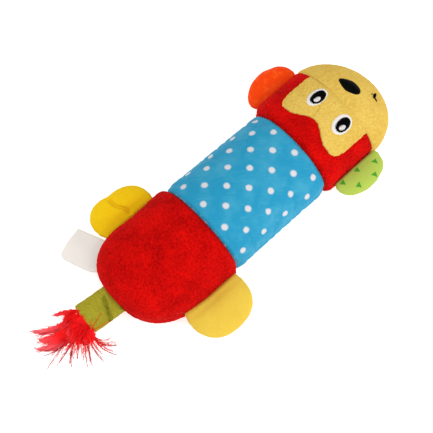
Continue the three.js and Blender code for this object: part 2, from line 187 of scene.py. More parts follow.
class ToyFaceSizes(bpy.types.PropertyGroup):
    """Sizes of the face patch and its stitching"""

    patch_half_width: size("Patch half width", "Half the face patch's width", 0.027)
    patch_shift: size("Patch shift", "How far the patch sits off the centre line", -0.0024)
    patch_length: size("Patch length", "From the muzzle seam back to the lobes", 0.0303)
    brow_dip: size("Brow dip", "How far the notch between the lobes comes forward", 0.0075)
    lobe_place: FloatProperty(
        name="Lobe place", default=0.66,
        description="Where a lobe is furthest back, as a share of half width",
    )
    corner: FloatProperty(
        name="Corner", description="How square a lobe's outer corner is", default=5.0
    )
    patch_thickness: size("Patch thickness", "How far the patch stands above the head", 0.0011)
    patch_edge: size("Patch edge", "Width of the patch's rolled edge", 0.0020)
    stitch_height: size("Stitch height", "How far satin stitching stands up", 0.0009)
    thread: size("Thread", "Width of one stitched thread, drawn wide enough to show", 0.0007)
    eye_length: size("Eye length", "Length of an eye's white", 0.0163)
    left_eye_width: size("Left eye width", "Width of the left eye's white", 0.0101)
    right_eye_width: size("Right eye width", "Width of the right eye's white", 0.0111)
    left_eye_turn: angle("Left eye turn", "How far the left eye is turned", -4)
    right_eye_turn: angle("Right eye turn", "How far the right eye is turned", 1)
    pupil_length: size("Pupil length", "Length of a pupil", 0.0131)
    pupil_width: size("Pupil width", "Width of a pupil", 0.0086)
    highlight_length: size("Highlight length", "Length of a pupil's highlight", 0.0055)
    highlight_width: size("Highlight width", "Width of a pupil's highlight", 0.0039)
    highlight_turn: angle("Highlight turn", "How far a highlight is turned", -12)
    nose_length: size("Nose length", "The nose across the muzzle", 0.0172)
    nose_width: size("Nose width", "The nose along the muzzle", 0.0094)
    nose_turn: angle("Nose turn", "How far the nose is turned", 100)
    mouth_arm: size("Mouth arm", "Length of each stitch of the mouth's knot", 0.0036)
    mouth_thread: size("Mouth thread", "Thickness of the mouth's thread", 0.0015)


class ToyFlapSizes(bpy.types.PropertyGroup):
    """Sizes of the ears and feet"""

    ear_droop: angle("Ear droop", "How far an ear hangs below level", 8)
    foot_droop: angle("Foot droop", "How far a foot hangs below level", 14)
    ear_half_thickness: size("Ear half thickness", "Half an ear's thickness", 0.0042)
    foot_half_thickness: size("Foot half thickness", "Half a foot's thickness", 0.0082)
    ear_root: size("Ear root", "Radius of an ear's sewn root", 0.0026)
    foot_root: size("Foot root", "Radius of a foot's sewn root", 0.0036)
    right_foot_tuck: size("Right foot tuck", "How much deeper the right foot's rear root is sewn", 0.0022)
    grid: size("Flap grid", "Step of the cloth in the simulation", 0.0011)
    start_share: FloatProperty(
        name="Starting thickness", description="Thickness before filling, as a share", default=0.85
    )
    spare: FloatProperty(
        name="Spare cloth", description="Share of extra cloth that gathers at the edge", default=0.005
    )
    pressure: FloatProperty(
        name="Wadding pressure", description="Pressure of the wadding in the simulation", default=7.0
    )
    swell_limit: size("Swell limit", "How far a point of a flap's cloth may move", 0.008)
    smoothing: IntProperty(
        name="Smoothing", description="How often a filled flap's cloth is evened out", default=20
    )
    seam_depth: size("Seam depth", "Depth of the seam around a flap", 0.0004)
    seam_reach: size("Seam reach", "Half the width of that seam", 0.0006)
    crease_depth: size("Crease depth", "Depth of the fold across the left foot", 0.0024)
    crease_reach: size("Crease reach", "Half the width of that fold", 0.0012)


class ToyTailSizes(bpy.types.PropertyGroup):
    """Sizes of the tail strap, its tuft and the sewn-in label"""

    strap_width: size("Strap width", "Width of the tail strap at its end", 0.0230)
    strap_length: size("Strap length", "Length of the tail strap", 0.023)
    strap_thickness: size("Strap thickness", "Thickness of the folded strap", 0.0034)
    strap_droop: angle("Strap droop", "How far the strap hangs below level", 22)
    strap_root: size("Strap root", "Radius of the strap's sewn root", 0.0027)
    strap_drift: size("Strap drift", "How far the strap's end is drawn to the left", 0.0015)
    strap_crease: size("Strap crease", "Depth of the fold across the strap near its root", 0.0036)
    tuft_reach: size("Tuft reach", "Length of the longest plume", 0.037)
    vane: size("Vane thickness", "Half the thickness of a plume's vane", 0.0006)
    strand: size("Strand", "Radius of one barb at its root, drawn thick enough to show", 0.00018)
    label_width: size("Label width", "Width of the label's tape", 0.0231)
    label_shift: size("Label shift", "How far the label lies off its hinge, towards the tail", 0.00135)
    label_curl: size("Label curl", "Width of the tape's curled edge on the tail side", 0.0027)
    label_corner: size("Label corner", "How far the fold's corner is drawn in at that edge", 0.0030)
    label_length: size("Label length", "How far the folded label stands out along its middle", 0.0263)
    label_slant: size("Label slant", "How much further the label's fold reaches on its tail side", 0.0020)
    label_root: size("Label root", "How far the label's tape goes into its seam", 0.0024)
    label_gap: size("Label gap", "Half the gap between the label's two layers", 0.0003)
    label_tape: size("Label tape", "Thickness of the label's tape", 0.00022)
    label_lean: angle("Label lean", "How far the label leans along its seam", 15.3)
    label_fold: size("Label fold", "How far out of the seam the label bends", 0.0035)
    label_droop: angle("Label droop", "How far the label hangs below level", 17)


class ToyColours(bpy.types.PropertyGroup):
    """Colours of the cloths and threads"""

    # Plush tip and root colours are mixed by pile height: the root colour is painted shade between the
    # clumps, the tip colour painted light on them
    red_tip: colour("Red tips", "Red pile where it catches light", "#c80804")
    red_root_shade: colour("Red roots", "Red pile deep between its tips", "#930101")
    blue: colour("Blue", "The band's printed ground", "#1f84a8")
    # Used both for rubbed patches and for pale streaks that are painted highlights on the band's crinkles
    blue_worn_and_highlight: colour("Pale blue", "The band's ground where it is rubbed", "#4699b3")
    dot: colour("Dots", "The band's printed dots", "#bebdc0")
    # Painted light on the tips and painted shade at the roots, as for the red
    yellow_tip: colour("Yellow tips", "The face's pile where it catches light", "#cfb156")
    yellow_root_shade: colour("Yellow roots", "The face's pile between its tips", "#bd983f")
    # Painted light on the tips and painted shade at the roots, as for the red
    foot_tip: colour("Foot tips", "The feet's pile where it catches light", "#eaca18")
    foot_root: colour("Foot roots", "The feet's pile between its tips", "#d8ae10")
    # The right foot's colours are a darker, paler copy of the feet's: painted shade and painted sheen for
    # how the light falls on that foot
    right_foot_shaded_tip: colour("Right foot shaded tips", "The right foot's pile, painted darker and paler for its light", "#dcc550")
    right_foot_shaded_root: colour("Right foot shaded roots", "The right foot's pile between its tips", "#ccaa3d")
    orange: colour("Orange", "The left ear's satin", "#e43e00")
    orange_pale: colour("Pale orange", "Rubbed flecks on the left ear", "#f0661c")
    green: colour("Green", "The right ear's printed ground", "#9db14a")
    leaf: colour("Leaf green", "The triangles printed on the right ear", "#3f8a24")
    # Painted light on the tips and painted shade at the roots, as for the red
    olive_tip: colour("Olive tips", "The strap's nap where it catches light", "#9b972c")
    olive_root_shade: colour("Olive roots", "The strap's nap between its tips", "#85791e")
    feather: colour("Feather", "The tuft near its root", "#f20c10")
    # Painted shade between the barbs, laid as random dark clumps over the tuft
    feather_clump_shade: colour("Deep feather", "The tuft between its barbs", "#d60508")
    feather_tip: colour("Feather tips", "The tuft's thin ends", "#f06a74")
    feather_dark: colour("Dark feather", "A few darker barbs in the tuft", "#5a0f18")
    tape: colour("Tape", "The label's satin", "#d8d2cb")
    white_thread: colour("White thread", "The eyes' white stitching", "#dedad7")
    black_thread: colour("Black thread", "The pupils, nose and mouth", "#030202")
    fill: colour("Fill", "The polyester stuffing", "#f2f0ea")
    plastic: colour("Plastic", "The squeaker's bulb", "#eef0ee")


class ToyStageSettings(bpy.types.PropertyGroup):
    """Camera, floor and light"""

    camera_place: FloatVectorProperty(
        name="Camera place", description="Where the camera stands", subtype="TRANSLATION",
        default=(-0.1924, -0.1788, 0.7921),
    )
    camera_aim: FloatVectorProperty(
        name="Camera aim", description="The point in the middle of the picture", subtype="TRANSLATION",
        default=(-0.0272, -0.0003, 0.0300),
    )
    lens: FloatProperty(
        name="Lens", description="Focal length on a 36 mm wide sensor", default=99.0,
        subtype="DISTANCE_CAMERA",
    )
    floor: colour("Floor", "The plain floor", "#fafafa")
    floor_size: size("Floor size", "Half the floor's width", 3.0)
    floor_glow: FloatProperty(name="Floor glow", description="Light that the floor gives off", default=0.4)
    sky: FloatProperty(name="Sky", description="Strength of the even light all round", default=0.75)
    key: FloatProperty(name="Key", description="Power of the large soft light, in watts", default=14.0)
    fill: FloatProperty(name="Fill", description="Power of the far soft light, in watts", default=7.5)
    softbox: size("Softbox", "Width of the soft lights", 1.2)


# Small helpers


def lerp(start, end, share):
    """The value at a share of the way from start to end."""
    return start + (end - start) * share


def ease(share):
    """A smooth step from 0 to 1, held outside that range."""
    share = min(max(share, 0.0), 1.0)
    return share * share * (3 - 2 * share)


def bell(distance, reach):
    """1 at no distance, fading smoothly to 0 past reach."""
    return math.exp(-((distance / reach) ** 2))


def dome(share, bluntness):
    """How far a rounded end is still open, at a share of its length."""
    return max(0.0, 1 - share**bluntness) ** (1 / bluntness)


def cloth_sheet(rows, columns, place):
    """A sheet of cloth from a grid: place(along, across) puts each point, both running from 0 to 1."""
    bm = bmesh.new()
    bmesh.ops.create_grid(bm, x_segments=rows, y_segments=columns, size=0.5)
    uv_layer = bm.loops.layers.uv.new("UVMap")
    for face in bm.faces:
        for loop in face.loops:
            loop[uv_layer].uv = (loop.vert.co.x + 0.5, loop.vert.co.y + 0.5)
    for vert in bm.verts:
        vert.co = place(vert.co.x + 0.5, vert.co.y + 0.5)
    return bm


def cloth_tube(rows, columns, place):
    """A tube of cloth: a sheet whose sides meet and are joined, its faces pointing outwards."""
    bm = cloth_sheet(rows, columns, place)
    bmesh.ops.remove_doubles(bm, verts=bm.verts, dist=WELD)
    bmesh.ops.recalc_face_normals(bm, faces=bm.faces)
    if bm.calc_volume(signed=True) < 0:
        bmesh.ops.reverse_faces(bm, faces=bm.faces)
    return bm


def close_ends(bm):
    """Covers the open ends of a form, and turns its faces outwards."""
    bmesh.ops.holes_fill(bm, edges=bm.edges, sides=0)
    bmesh.ops.recalc_face_normals(bm, faces=bm.faces)


def join_to(bm, part):
    """Adds a part to a form, and frees the part."""
    mesh = bpy.data.meshes.new("part")
    part.to_mesh(mesh)
    part.free()
    bm.from_mesh(mesh)
    bpy.data.meshes.remove(mesh)


def put_in_scene(name, bm):
    """Makes an object of a bmesh, at the origin."""
    mesh = bpy.data.meshes.new(name)
    bm.to_mesh(mesh)
    bm.free()
    obj = bpy.data.objects.new(name, mesh)
    bpy.context.scene.collection.objects.link(obj)
    return obj


def apply_modifiers(obj):
    """Puts the result of an object's modifiers into its mesh."""
    graph = bpy.context.evaluated_depsgraph_get()
    shaped = obj.evaluated_get(graph)
    mesh = bpy.data.meshes.new_from_object(shaped, preserve_all_data_layers=True, depsgraph=graph)
    obj.modifiers.clear()
    obj.data = mesh


def refine(obj, levels):
    """Subdivides a piece smoothly."""
    smooth = obj.modifiers.new("refine", "SUBSURF")
    smooth.levels = levels
    smooth.render_levels = levels
    apply_modifiers(obj)


def swell(obj, held, pressure, spare, limit):
    """Fills a cloth piece by simulation, keeps each point within limit of its start, and applies it."""
    scene = bpy.context.scene
    scene.frame_set(1)
    start = [vert.co.copy() for vert in obj.data.vertices]
    sewn = [vert.index for vert in obj.data.vertices if held(vert.co)]
    obj.vertex_groups.new(name="sewn").add(sewn, 1.0, "REPLACE")
    obj.data.transform(Matrix.Scale(SIM_SCALE, 4))
    cloth = obj.modifiers.new("swell", "CLOTH")
    cloth.collision_settings.use_collision = False
    settings = cloth.settings
    settings.quality = 6
    settings.tension_stiffness = 15
    settings.compression_stiffness = 15
    settings.shear_stiffness = 7
    settings.bending_stiffness = 0.1
    settings.use_pressure = True
    settings.uniform_pressure_force = pressure
    settings.shrink_min = -spare
    settings.vertex_group_mass = "sewn"
    settings.effector_weights.gravity = 0
    for step in range(1, SIM_STEPS + 1):
        scene.frame_set(step)
    apply_modifiers(obj)
    obj.data.transform(Matrix.Scale(1 / SIM_SCALE, 4))
    for vert, place in zip(obj.data.vertices, start):
        move = vert.co - place
        if move.length > limit:
            vert.co = place + move * (limit / move.length)
    scene.frame_set(1)


def raise_pile(bm, height, nub, seed):
    """Gives cloth a pile of small clumps, and notes how high each point stands."""
    bm.normal_update()
    layer = bm.verts.layers.float.new("pile")
    shift = Vector((seed, 2 * seed, 3 * seed))
    tip_nub = 0.55 * nub
    tip_share = 0.6
    for vert in bm.verts:
        clump = noise.noise(vert.co / nub + shift)
        tip = noise.noise(vert.co / tip_nub - shift)
        level = clump + tip_share * tip
        vert[layer] = 0.5 + 0.5 * level
        vert.co += vert.normal * (height * level)
        vert.co.z = max(vert.co.z, 0.0)


def lumpy(bm, depth, lump, seed):
    """Makes a smooth form lumpy, as loose fibre is."""
    bm.normal_update()
    shift = Vector((seed, seed, seed))
    for vert in bm.verts:
        vert.co += vert.normal * (depth * noise.noise(vert.co / lump + shift))


def turn_in_edges(bm, depth, tuck):
    """Closes open seams: each edge is turned inwards, tucked under its own cloth and covered."""
    rim = [edge for edge in bm.edges if edge.is_boundary]
    if not rim:
        return
    middle = sum((vert.co.x for vert in bm.verts)) / len(bm.verts)
    turned = bmesh.ops.extrude_edge_only(bm, edges=rim)["geom"]
    for item in turned:
        if isinstance(item, bmesh.types.BMVert):
            inwards = Vector((0, -item.co.y, SIDE_HEIGHT - item.co.z)).normalized()
            item.co += inwards * depth
            item.co.x += math.copysign(tuck, middle - item.co.x)
    close_ends(bm)


def lay_on(bm, form, lift=0.0):
    """Lays flat stitching on a skin: a point's height becomes its height above the skin."""
    for vert in bm.verts:
        above = Vector((vert.co.x, vert.co.y, RAY_START))
        place, normal, _, _ = form.ray_cast(above, -UP)
        if place is None:
            raise RuntimeError(f"nothing lies under a stitched point at {above}")
        vert.co = place + normal * (vert.co.z + lift)


def dress(obj, material, slot, replaced, body):
    """Gives a finished piece its material, hides the nodes it stands for, and lets it ride; its slot is not
    used.
    """
    obj.data.materials.clear()
    obj.data.materials.append(material)
    for face in obj.data.polygons:
        face.use_smooth = True
    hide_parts(*replaced)
    if body:
        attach(obj, body)


def dent_with_squeeze(obj, sizes):
    """Lets a piece of the band give way under the squeeze, and keeps it sewn at the ring seams."""
    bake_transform(obj, "stuffed_body", "squeeze_pad", start=(0, 0, 0.025), end=(0, 0, band_high.z))
    weights = obj.data.attributes["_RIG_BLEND"].data
    for vert, weight in zip(obj.data.vertices, weights):
        inside = min(vert.co.x - REAR_SEAM, FRONT_SEAM - vert.co.x)
        weight.value *= ease(inside / sizes.squeeze_ease)


def flap_frame(joint, droop):
    """The axes of a flap at its hinge: outwards and down, across, and up through its thickness."""
    place = Vector(hinges[joint]["pos_m"])
    axis = Vector(hinges[joint]["axis"])
    turned = Matrix((UP.cross(axis), -axis, UP)).transposed().to_4x4()
    return Matrix.Translation(place) @ turned @ Matrix.Rotation(droop, 4, "Y")


# Materials


def add_node(material, kind, inputs=None, out=0, **settings):
    """Adds a node, sets its own settings, sets or links its inputs, and returns one of its outputs."""
    tree = material.node_tree
    node = tree.nodes.new(kind)
    for name, value in settings.items():
        setattr(node, name, value)
    for key, value in (inputs or {}).items():
        if isinstance(value, bpy.types.NodeSocket):
            tree.links.new(value, node.inputs[key])
        else:
            node.inputs[key].default_value = value
    return node.outputs[out]


def new_material(name, **constants):
    """A material whose shader has these constants; returns it with its shader."""
    material = bpy.data.materials.new(name)
    material.use_nodes = True
    shader = material.node_tree.nodes["Principled BSDF"]
    for key, value in constants.items():
        shader.inputs[key.replace("_", " ")].default_value = value
    return material, shader


def finish_surface(material, shader, tint, relief, strength, depth):
    """Gives a shader its finished colour and the fine relief that light catches on."""
    bump = add_node(
        material, "ShaderNodeBump", {"Height": relief, "Strength": strength, "Distance": depth}
    )
    material.node_tree.links.new(tint, shader.inputs["Base Color"])
    material.node_tree.links.new(bump, shader.inputs["Normal"])
    return material


def mottle(material, shader, rgb, shade, grain, strength, depth, detail=2.0, distortion=0.0):
    """Shades a colour by fine noise of a given grain, and raises the same noise as its relief."""
    place = add_node(material, "ShaderNodeTexCoord", out="Object")
    mottling = add_node(
        material, "ShaderNodeTexNoise",
        {"Vector": place, "Scale": 1 / grain, "Detail": detail, "Distortion": distortion},
    )
    dark = [shade * channel for channel in rgb]
    tint = add_node(
        material, "ShaderNodeMix", {0: mottling, 6: opaque(dark), 7: opaque(rgb)}, data_type="RGBA", out=2
    )
    return finish_surface(material, shader, tint, mottling, strength, depth)


def opaque(rgb):
    """A colour with full alpha, as sockets take it."""
    return (rgb[0], rgb[1], rgb[2], 1.0)


def plush(name, tip, root, nub, sheen, contrast):
    """Knitted polyester plush, brushed and sheared: matt, painted darker between its clumps as shade and
    lighter on them as light, soft at the edge.

    The clumps are real geometry, and the finer fibres are a bump drawn coarse enough to show.
    """
    material, shader = new_material(
        name, Roughness=0.95, Sheen_Weight=sheen, Sheen_Roughness=0.45, Specular_IOR_Level=0.05
    )
    add = partial(add_node, material)
    shader.inputs["Sheen Tint"].default_value = opaque([lerp(c, 1.0, 0.1) for c in tip])
    place = add("ShaderNodeTexCoord", out="Object")
    pile = add("ShaderNodeAttribute", attribute_name="pile", out="Fac")
    fleck = add("ShaderNodeTexNoise", {"Vector": place, "Scale": 1 / (0.8 * nub), "Detail": 3.0})
    patch = add("ShaderNodeTexNoise", {"Vector": place, "Scale": 1 / (14 * nub), "Detail": 2.0})
    mixed = add("ShaderNodeMath", {0: pile, 1: fleck}, operation="ADD")
    toned = add("ShaderNodeMath", {0: patch, 1: 0.9, 2: mixed}, operation="MULTIPLY_ADD")
    level = add(
        "ShaderNodeMapRange", {"Value": toned, "From Min": 1.45 - contrast, "From Max": 1.45 + contrast}
    )
    # Low pile takes the root colour as painted shade and high pile the tip colour as painted light; the
    # flecks and patches add the cloth's own uneven tone
    tint = add("ShaderNodeMix", {0: level, 6: opaque(root), 7: opaque(tip)}, data_type="RGBA", out=2)
    fibre = add("ShaderNodeTexNoise", {"Vector": place, "Scale": 1 / (0.45 * nub), "Detail": 2.0})
    return finish_surface(material, shader, tint, fibre, strength=0.55, depth=0.3 * nub)


def dotted_cotton(colours):
    """Printed cotton, plain weave: matt and flat, with a faint grain, dots that follow the cloth, rubbed
    paler patches, painted highlights on its fine crinkles, and pale rubbed threads where it gathers at the
    seams."""
    pitch_along = 13.53 * MM
    pitch_around = 14.87 * MM
    radius = 2.2 * MM
    tilt = math.radians(-41.7)
    shift = Vector((-0.412, 0.121, 0))
    # Drawn about three times as coarse as woven, so that it shows
    thread = 0.9 * MM
    material, shader = new_material(
        "printed_cotton", Roughness=0.9, Sheen_Weight=0.08, Sheen_Roughness=0.4, Specular_IOR_Level=0.12
    )
    add = partial(add_node, material)
    uv = add("ShaderNodeUVMap", uv_map="UVMap")
    corner = Vector((REAR_SEAM / pitch_along, GIRTH / 2 / pitch_around, 0))
    corner.rotate(Matrix.Rotation(tilt, 3, "Z"))
    lattice = add(
        "ShaderNodeMapping",
        {
            "Vector": uv,
            "Scale": (BAND_LENGTH / pitch_along, -GIRTH / pitch_around, 1),
            "Rotation": (0, 0, tilt),
            "Location": corner + shift + Vector((0.5, 0.5, 0)),
        },
    )
    place = add("ShaderNodeTexCoord", out="Object")
    rough = add("ShaderNodeTexNoise", {"Vector": place, "Scale": 1 / (1.4 * MM), "Detail": 2.0})
    cell = add("ShaderNodeVectorMath", {0: lattice}, operation="FRACTION")
    centred = add("ShaderNodeVectorMath", {0: cell, 1: (0.5, 0.5, 0)}, operation="SUBTRACT")
    flat = add("ShaderNodeVectorMath", {0: centred, 1: (1, 1, 0)}, operation="MULTIPLY")
    distance = add("ShaderNodeVectorMath", {0: flat}, operation="LENGTH", out="Value")
    wobbly = add("ShaderNodeMath", {0: rough, 1: 0.06, 2: distance}, operation="MULTIPLY_ADD")
    edge = radius / pitch_around + 0.03
    inside = add(
        "ShaderNodeMapRange", {"Value": wobbly, "From Min": edge + 0.035, "From Max": edge - 0.035}
    )
    worn = add("ShaderNodeTexNoise", {"Vector": place, "Scale": 1 / (11 * MM), "Detail": 4.0})
    worn_share = add(
        "ShaderNodeMapRange", {"Value": worn, "From Min": 0.42, "From Max": 0.85, "To Max": 0.75}
    )
    # Pale streaks along the weave: painted highlights on the cloth's fine crinkles
    crinkle_highlight_place = add(
        "ShaderNodeMapping",
        {"Vector": place, "Rotation": (0, 0, tilt), "Scale": (7 * MM, 0.9 * MM, 7 * MM)},
        vector_type="TEXTURE",
    )
    crinkle_light = add("ShaderNodeTexNoise", {"Vector": crinkle_highlight_place, "Scale": 1.0, "Detail": 2.0})
    crinkle_highlights = add("ShaderNodeMapRange", {"Value": crinkle_light, "From Min": 0.55, "From Max": 0.8, "To Max": 0.4})
    # Rubbed patches and painted crinkle highlights both pale the ground
    worn_and_highlight_share = add("ShaderNodeMath", {0: worn_share, 1: crinkle_highlights}, operation="ADD", use_clamp=True)
    ground = add(
        "ShaderNodeMix",
        {0: worn_and_highlight_share, 6: opaque(colours.blue), 7: opaque(colours.blue_worn_and_highlight)}, data_type="RGBA", out=2,
    )
    dotted = add(
        "ShaderNodeMix", {0: inside, 6: ground, 7: opaque(colours.dot)}, data_type="RGBA", out=2
    )
    seam = add("ShaderNodeAttribute", attribute_name="seam", out="Fac")
    lint = add("ShaderNodeTexNoise", {"Vector": place, "Scale": 1 / (1.8 * MM), "Detail": 3.0})
    lint_here = add("ShaderNodeMath", {0: lint, 1: seam}, operation="MULTIPLY")
    frayed = add(
        "ShaderNodeMapRange", {"Value": lint_here, "From Min": 0.46, "From Max": 0.66, "To Max": 0.35}
    )
    tint = add("ShaderNodeMix", {0: frayed, 6: dotted, 7: opaque(colours.dot)}, data_type="RGBA", out=2)
    warp = add(
        "ShaderNodeTexWave",
        {"Vector": uv, "Scale": WAVE_LENGTH * BAND_LENGTH / thread}, bands_direction="X", out="Fac",
    )
    weft = add(
        "ShaderNodeTexWave",
        {"Vector": uv, "Scale": WAVE_LENGTH * GIRTH / thread}, bands_direction="Y", out="Fac",
    )
    weave = add("ShaderNodeMath", {0: warp, 1: weft}, operation="MAXIMUM")
    return finish_surface(material, shader, tint, weave, strength=0.25, depth=0.12 * MM)


def ear_satin(colours):
    """Woven polyester satin: smooth, with a soft streaked shine and a few pale rubbed flecks."""
    # Drawn several times as coarse as woven, so that it shows
    thread = 0.8 * MM
    material, shader = new_material(
        "polyester_satin", Roughness=0.6, Specular_IOR_Level=0.08, Anisotropic=0.4
    )
    add = partial(add_node, material)
    place = add("ShaderNodeTexCoord", out="Object")
    rubbed = add("ShaderNodeTexNoise", {"Vector": place, "Scale": 1 / (4.5 * MM), "Detail": 3.0})
    flecks = add(
        "ShaderNodeMapRange", {"Value": rubbed, "From Min": 0.52, "From Max": 0.8, "To Max": 0.7}
    )
    tint = add(
        "ShaderNodeMix",
        {0: flecks, 6: opaque(colours.orange), 7: opaque(colours.orange_pale)}, data_type="RGBA", out=2,
    )
    weave = add(
        "ShaderNodeTexWave", {"Vector": place, "Scale": WAVE_LENGTH / thread, "Distortion": 0.6}, out="Fac"
    )
    return finish_surface(material, shader, tint, weave, strength=0.2, depth=0.1 * MM)


def ear_cotton(colours):
    """Printed cotton of the right ear: pale green with rows of small darker triangles."""
    column = 13.4 * MM
    row = 8.6 * MM
    first_column = 51.8 * MM
    first_row = -41.0 * MM
    corner = 2.5 * MM
    # Drawn about three times as coarse as woven, so that it shows
    thread = 0.8 * MM
    material, shader = new_material(
        "printed_ear_cotton", Roughness=0.9, Sheen_Weight=0.08, Sheen_Roughness=0.4,
        Specular_IOR_Level=0.12,
    )
    add = partial(add_node, material)
    place = add("ShaderNodeTexCoord", out="Object")
    # The rows sink towards the front, where the ear curls
    flat = add("ShaderNodeSeparateXYZ", {0: place}).node
    from_curl = add("ShaderNodeMath", {0: flat.outputs["X"], 1: 65.5 * MM}, operation="SUBTRACT")
    curled = add("ShaderNodeMath", {0: from_curl, 1: 0.0}, operation="MAXIMUM")
    sunk = add("ShaderNodeMath", {0: curled, 1: 0.29, 2: flat.outputs["Y"]}, operation="MULTIPLY_ADD")
    printed = add("ShaderNodeCombineXYZ", {0: flat.outputs["X"], 1: sunk})
    cells = add(
        "ShaderNodeMapping",
        {
            "Vector": printed,
            "Scale": (1 / column, 1 / row, 1),
            "Location": (0.5 - first_column / column, 0.5 - first_row / row, 0),
        },
    )
    axes = add("ShaderNodeSeparateXYZ", {0: cells}).node
    row_number = add("ShaderNodeMath", {0: axes.outputs["Y"]}, operation="FLOOR")
    stagger = add(
        "ShaderNodeMath", {0: row_number, 1: 0.5, 2: axes.outputs["X"]}, operation="MULTIPLY_ADD"
    )
    across = add("ShaderNodeMath", {0: stagger}, operation="FRACT")
    down = add("ShaderNodeMath", {0: axes.outputs["Y"]}, operation="FRACT")
    in_cell = add("ShaderNodeCombineXYZ", {0: across, 1: down})
    # Turned so that each triangle points forwards and in towards the head
    local = add(
        "ShaderNodeMapping",
        {"Vector": in_cell, "Scale": (column, row, 1), "Location": (-column / 2, -row / 2, 0)},
    )
    turned = add(
        "ShaderNodeVectorRotate", {"Vector": local, "Angle": math.radians(48)}, rotation_type="Z_AXIS"
    )
    sides = add("ShaderNodeSeparateXYZ", {0: turned}).node
    spread = add("ShaderNodeMath", {0: sides.outputs["X"]}, operation="ABSOLUTE")
    half_up = add("ShaderNodeMath", {0: sides.outputs["Y"], 1: 0.5}, operation="MULTIPLY")
    slope = add("ShaderNodeMath", {0: spread, 1: 0.866, 2: half_up}, operation="MULTIPLY_ADD")
    base = add("ShaderNodeMath", {0: sides.outputs["Y"], 1: -1.0}, operation="MULTIPLY")
    reach = add("ShaderNodeMath", {0: slope, 1: base}, operation="MAXIMUM")
    inside = add(
        "ShaderNodeMapRange",
        {"Value": reach, "From Min": corner / 2 + 0.25 * MM, "From Max": corner / 2 - 0.25 * MM},
    )
    tint = add(
        "ShaderNodeMix",
        {0: inside, 6: opaque(colours.green), 7: opaque(colours.leaf)}, data_type="RGBA", out=2,
    )
    weave = add(
        "ShaderNodeTexWave", {"Vector": place, "Scale": WAVE_LENGTH / thread, "Distortion": 0.4}, out="Fac"
    )
    return finish_surface(material, shader, tint, weave, strength=0.2, depth=0.1 * MM)


def feather_down(colours):
    """Dyed feather: fine barbs that light shines through, bright red, paler where they thin out, and
    dark in the stems and in a loose barb here and there."""
    # Drawn several times as coarse as grown, so that it shows
    barb = 0.8 * MM
    material, shader = new_material(
        "dyed_feather", Roughness=0.65, Specular_IOR_Level=0.1,
        Subsurface_Weight=0.4, Subsurface_Scale=0.002,
    )
    add = partial(add_node, material)
    along, stem, loose = (
        add("ShaderNodeAttribute", attribute_name=name, out="Fac")
        for name in ("along", "stem", "loose")
    )
    place = add("ShaderNodeTexCoord", out="Object")
    # Random dark clumps: painted shade between the barbs of the dense tuft, mixed into the dyed red
    clumps = add("ShaderNodeTexNoise", {"Vector": place, "Scale": 1 / (4 * barb), "Detail": 4.0})
    deep = add("ShaderNodeMapRange", {"Value": clumps, "From Min": 0.45, "From Max": 0.65})
    dyed_and_shaded = add(
        "ShaderNodeMix",
        {0: deep, 6: opaque(colours.feather), 7: opaque(colours.feather_clump_shade)}, data_type="RGBA", out=2,
    )
    strand = add("ShaderNodeNewGeometry", out="Random Per Island")
    varied = add("ShaderNodeMath", {0: strand, 1: 0.45, 2: along}, operation="MULTIPLY_ADD")
    thin = add("ShaderNodeMapRange", {"Value": varied, "From Min": 0.6, "From Max": 1.3})
    paled = add(
        "ShaderNodeMix", {0: thin, 6: dyed_and_shaded, 7: opaque(colours.feather_tip)}, data_type="RGBA", out=2
    )
    odd = add(
        "ShaderNodeMapRange", {"Value": strand, "From Min": 0.62, "From Max": 0.74, "To Max": 0.8}
    )
    odd_loose = add("ShaderNodeMath", {0: odd, 1: loose}, operation="MULTIPLY")
    either = add("ShaderNodeMath", {0: odd_loose, 1: stem}, operation="MAXIMUM")
    outer = add("ShaderNodeMapRange", {"Value": along, "From Min": 0.36, "From Max": 0.6})
    dark = add("ShaderNodeMath", {0: either, 1: outer}, operation="MULTIPLY")
    tint = add(
        "ShaderNodeMix", {0: dark, 6: paled, 7: opaque(colours.feather_dark)}, data_type="RGBA", out=2
    )
    barbs = add("ShaderNodeTexNoise", {"Vector": place, "Scale": 1 / barb, "Detail": 2.0})
    return finish_surface(material, shader, tint, barbs, strength=0.4, depth=0.3 * barb)


def satin_tape(colours):
    """Woven satin tape: white and slightly glossy, ribbed by its fine weft."""
    # Drawn several times as coarse as woven, so that it shows
    rib = 0.7 * MM
    tape_run = 48 * MM
    material, shader = new_material(
        "satin_tape", Roughness=0.42, Sheen_Weight=0.3, Sheen_Roughness=0.3, Anisotropic=0.5
    )
    add = partial(add_node, material)
    uv = add("ShaderNodeUVMap", uv_map="UVMap")
    place = add("ShaderNodeTexCoord", out="Object")
    cloud = add("ShaderNodeTexNoise", {"Vector": place, "Scale": 1 / (6 * MM), "Detail": 2.0})
    shade = [0.93 * channel for channel in colours.tape]
    tint = add(
        "ShaderNodeMix", {0: cloud, 6: opaque(shade), 7: opaque(colours.tape)}, data_type="RGBA", out=2
    )
    weft = add(
        "ShaderNodeTexWave",
        {"Vector": uv, "Scale": WAVE_LENGTH * tape_run / rib}, bands_direction="X", out="Fac",
    )
    return finish_surface(material, shader, tint, weft, strength=0.15, depth=0.08 * MM)


def satin_thread(name, rgb, shine):
    """Trilobal polyester thread, laid side by side: each thread catches a narrow line of light.

    Its ply is drawn coarse enough to show.
    """
    material, shader = new_material(name, Roughness=0.45, Specular_IOR_Level=shine)
    return mottle(material, shader, rgb, shade=0.72, grain=0.5 * MM, strength=0.25, depth=0.15 * MM)


def fibre_fill(colours):
    """Loose polyester fibre: white, matt and tangled, drawn as coarse clumps of its fine fibres."""
    material, shader = new_material("polyester_fibre_fill", Roughness=0.95, Sheen_Weight=0.5)
    return mottle(
        material, shader, colours.fill, shade=0.82, grain=3 * MM, strength=0.8, depth=1.0 * MM,
        detail=5.0, distortion=1.5,
    )


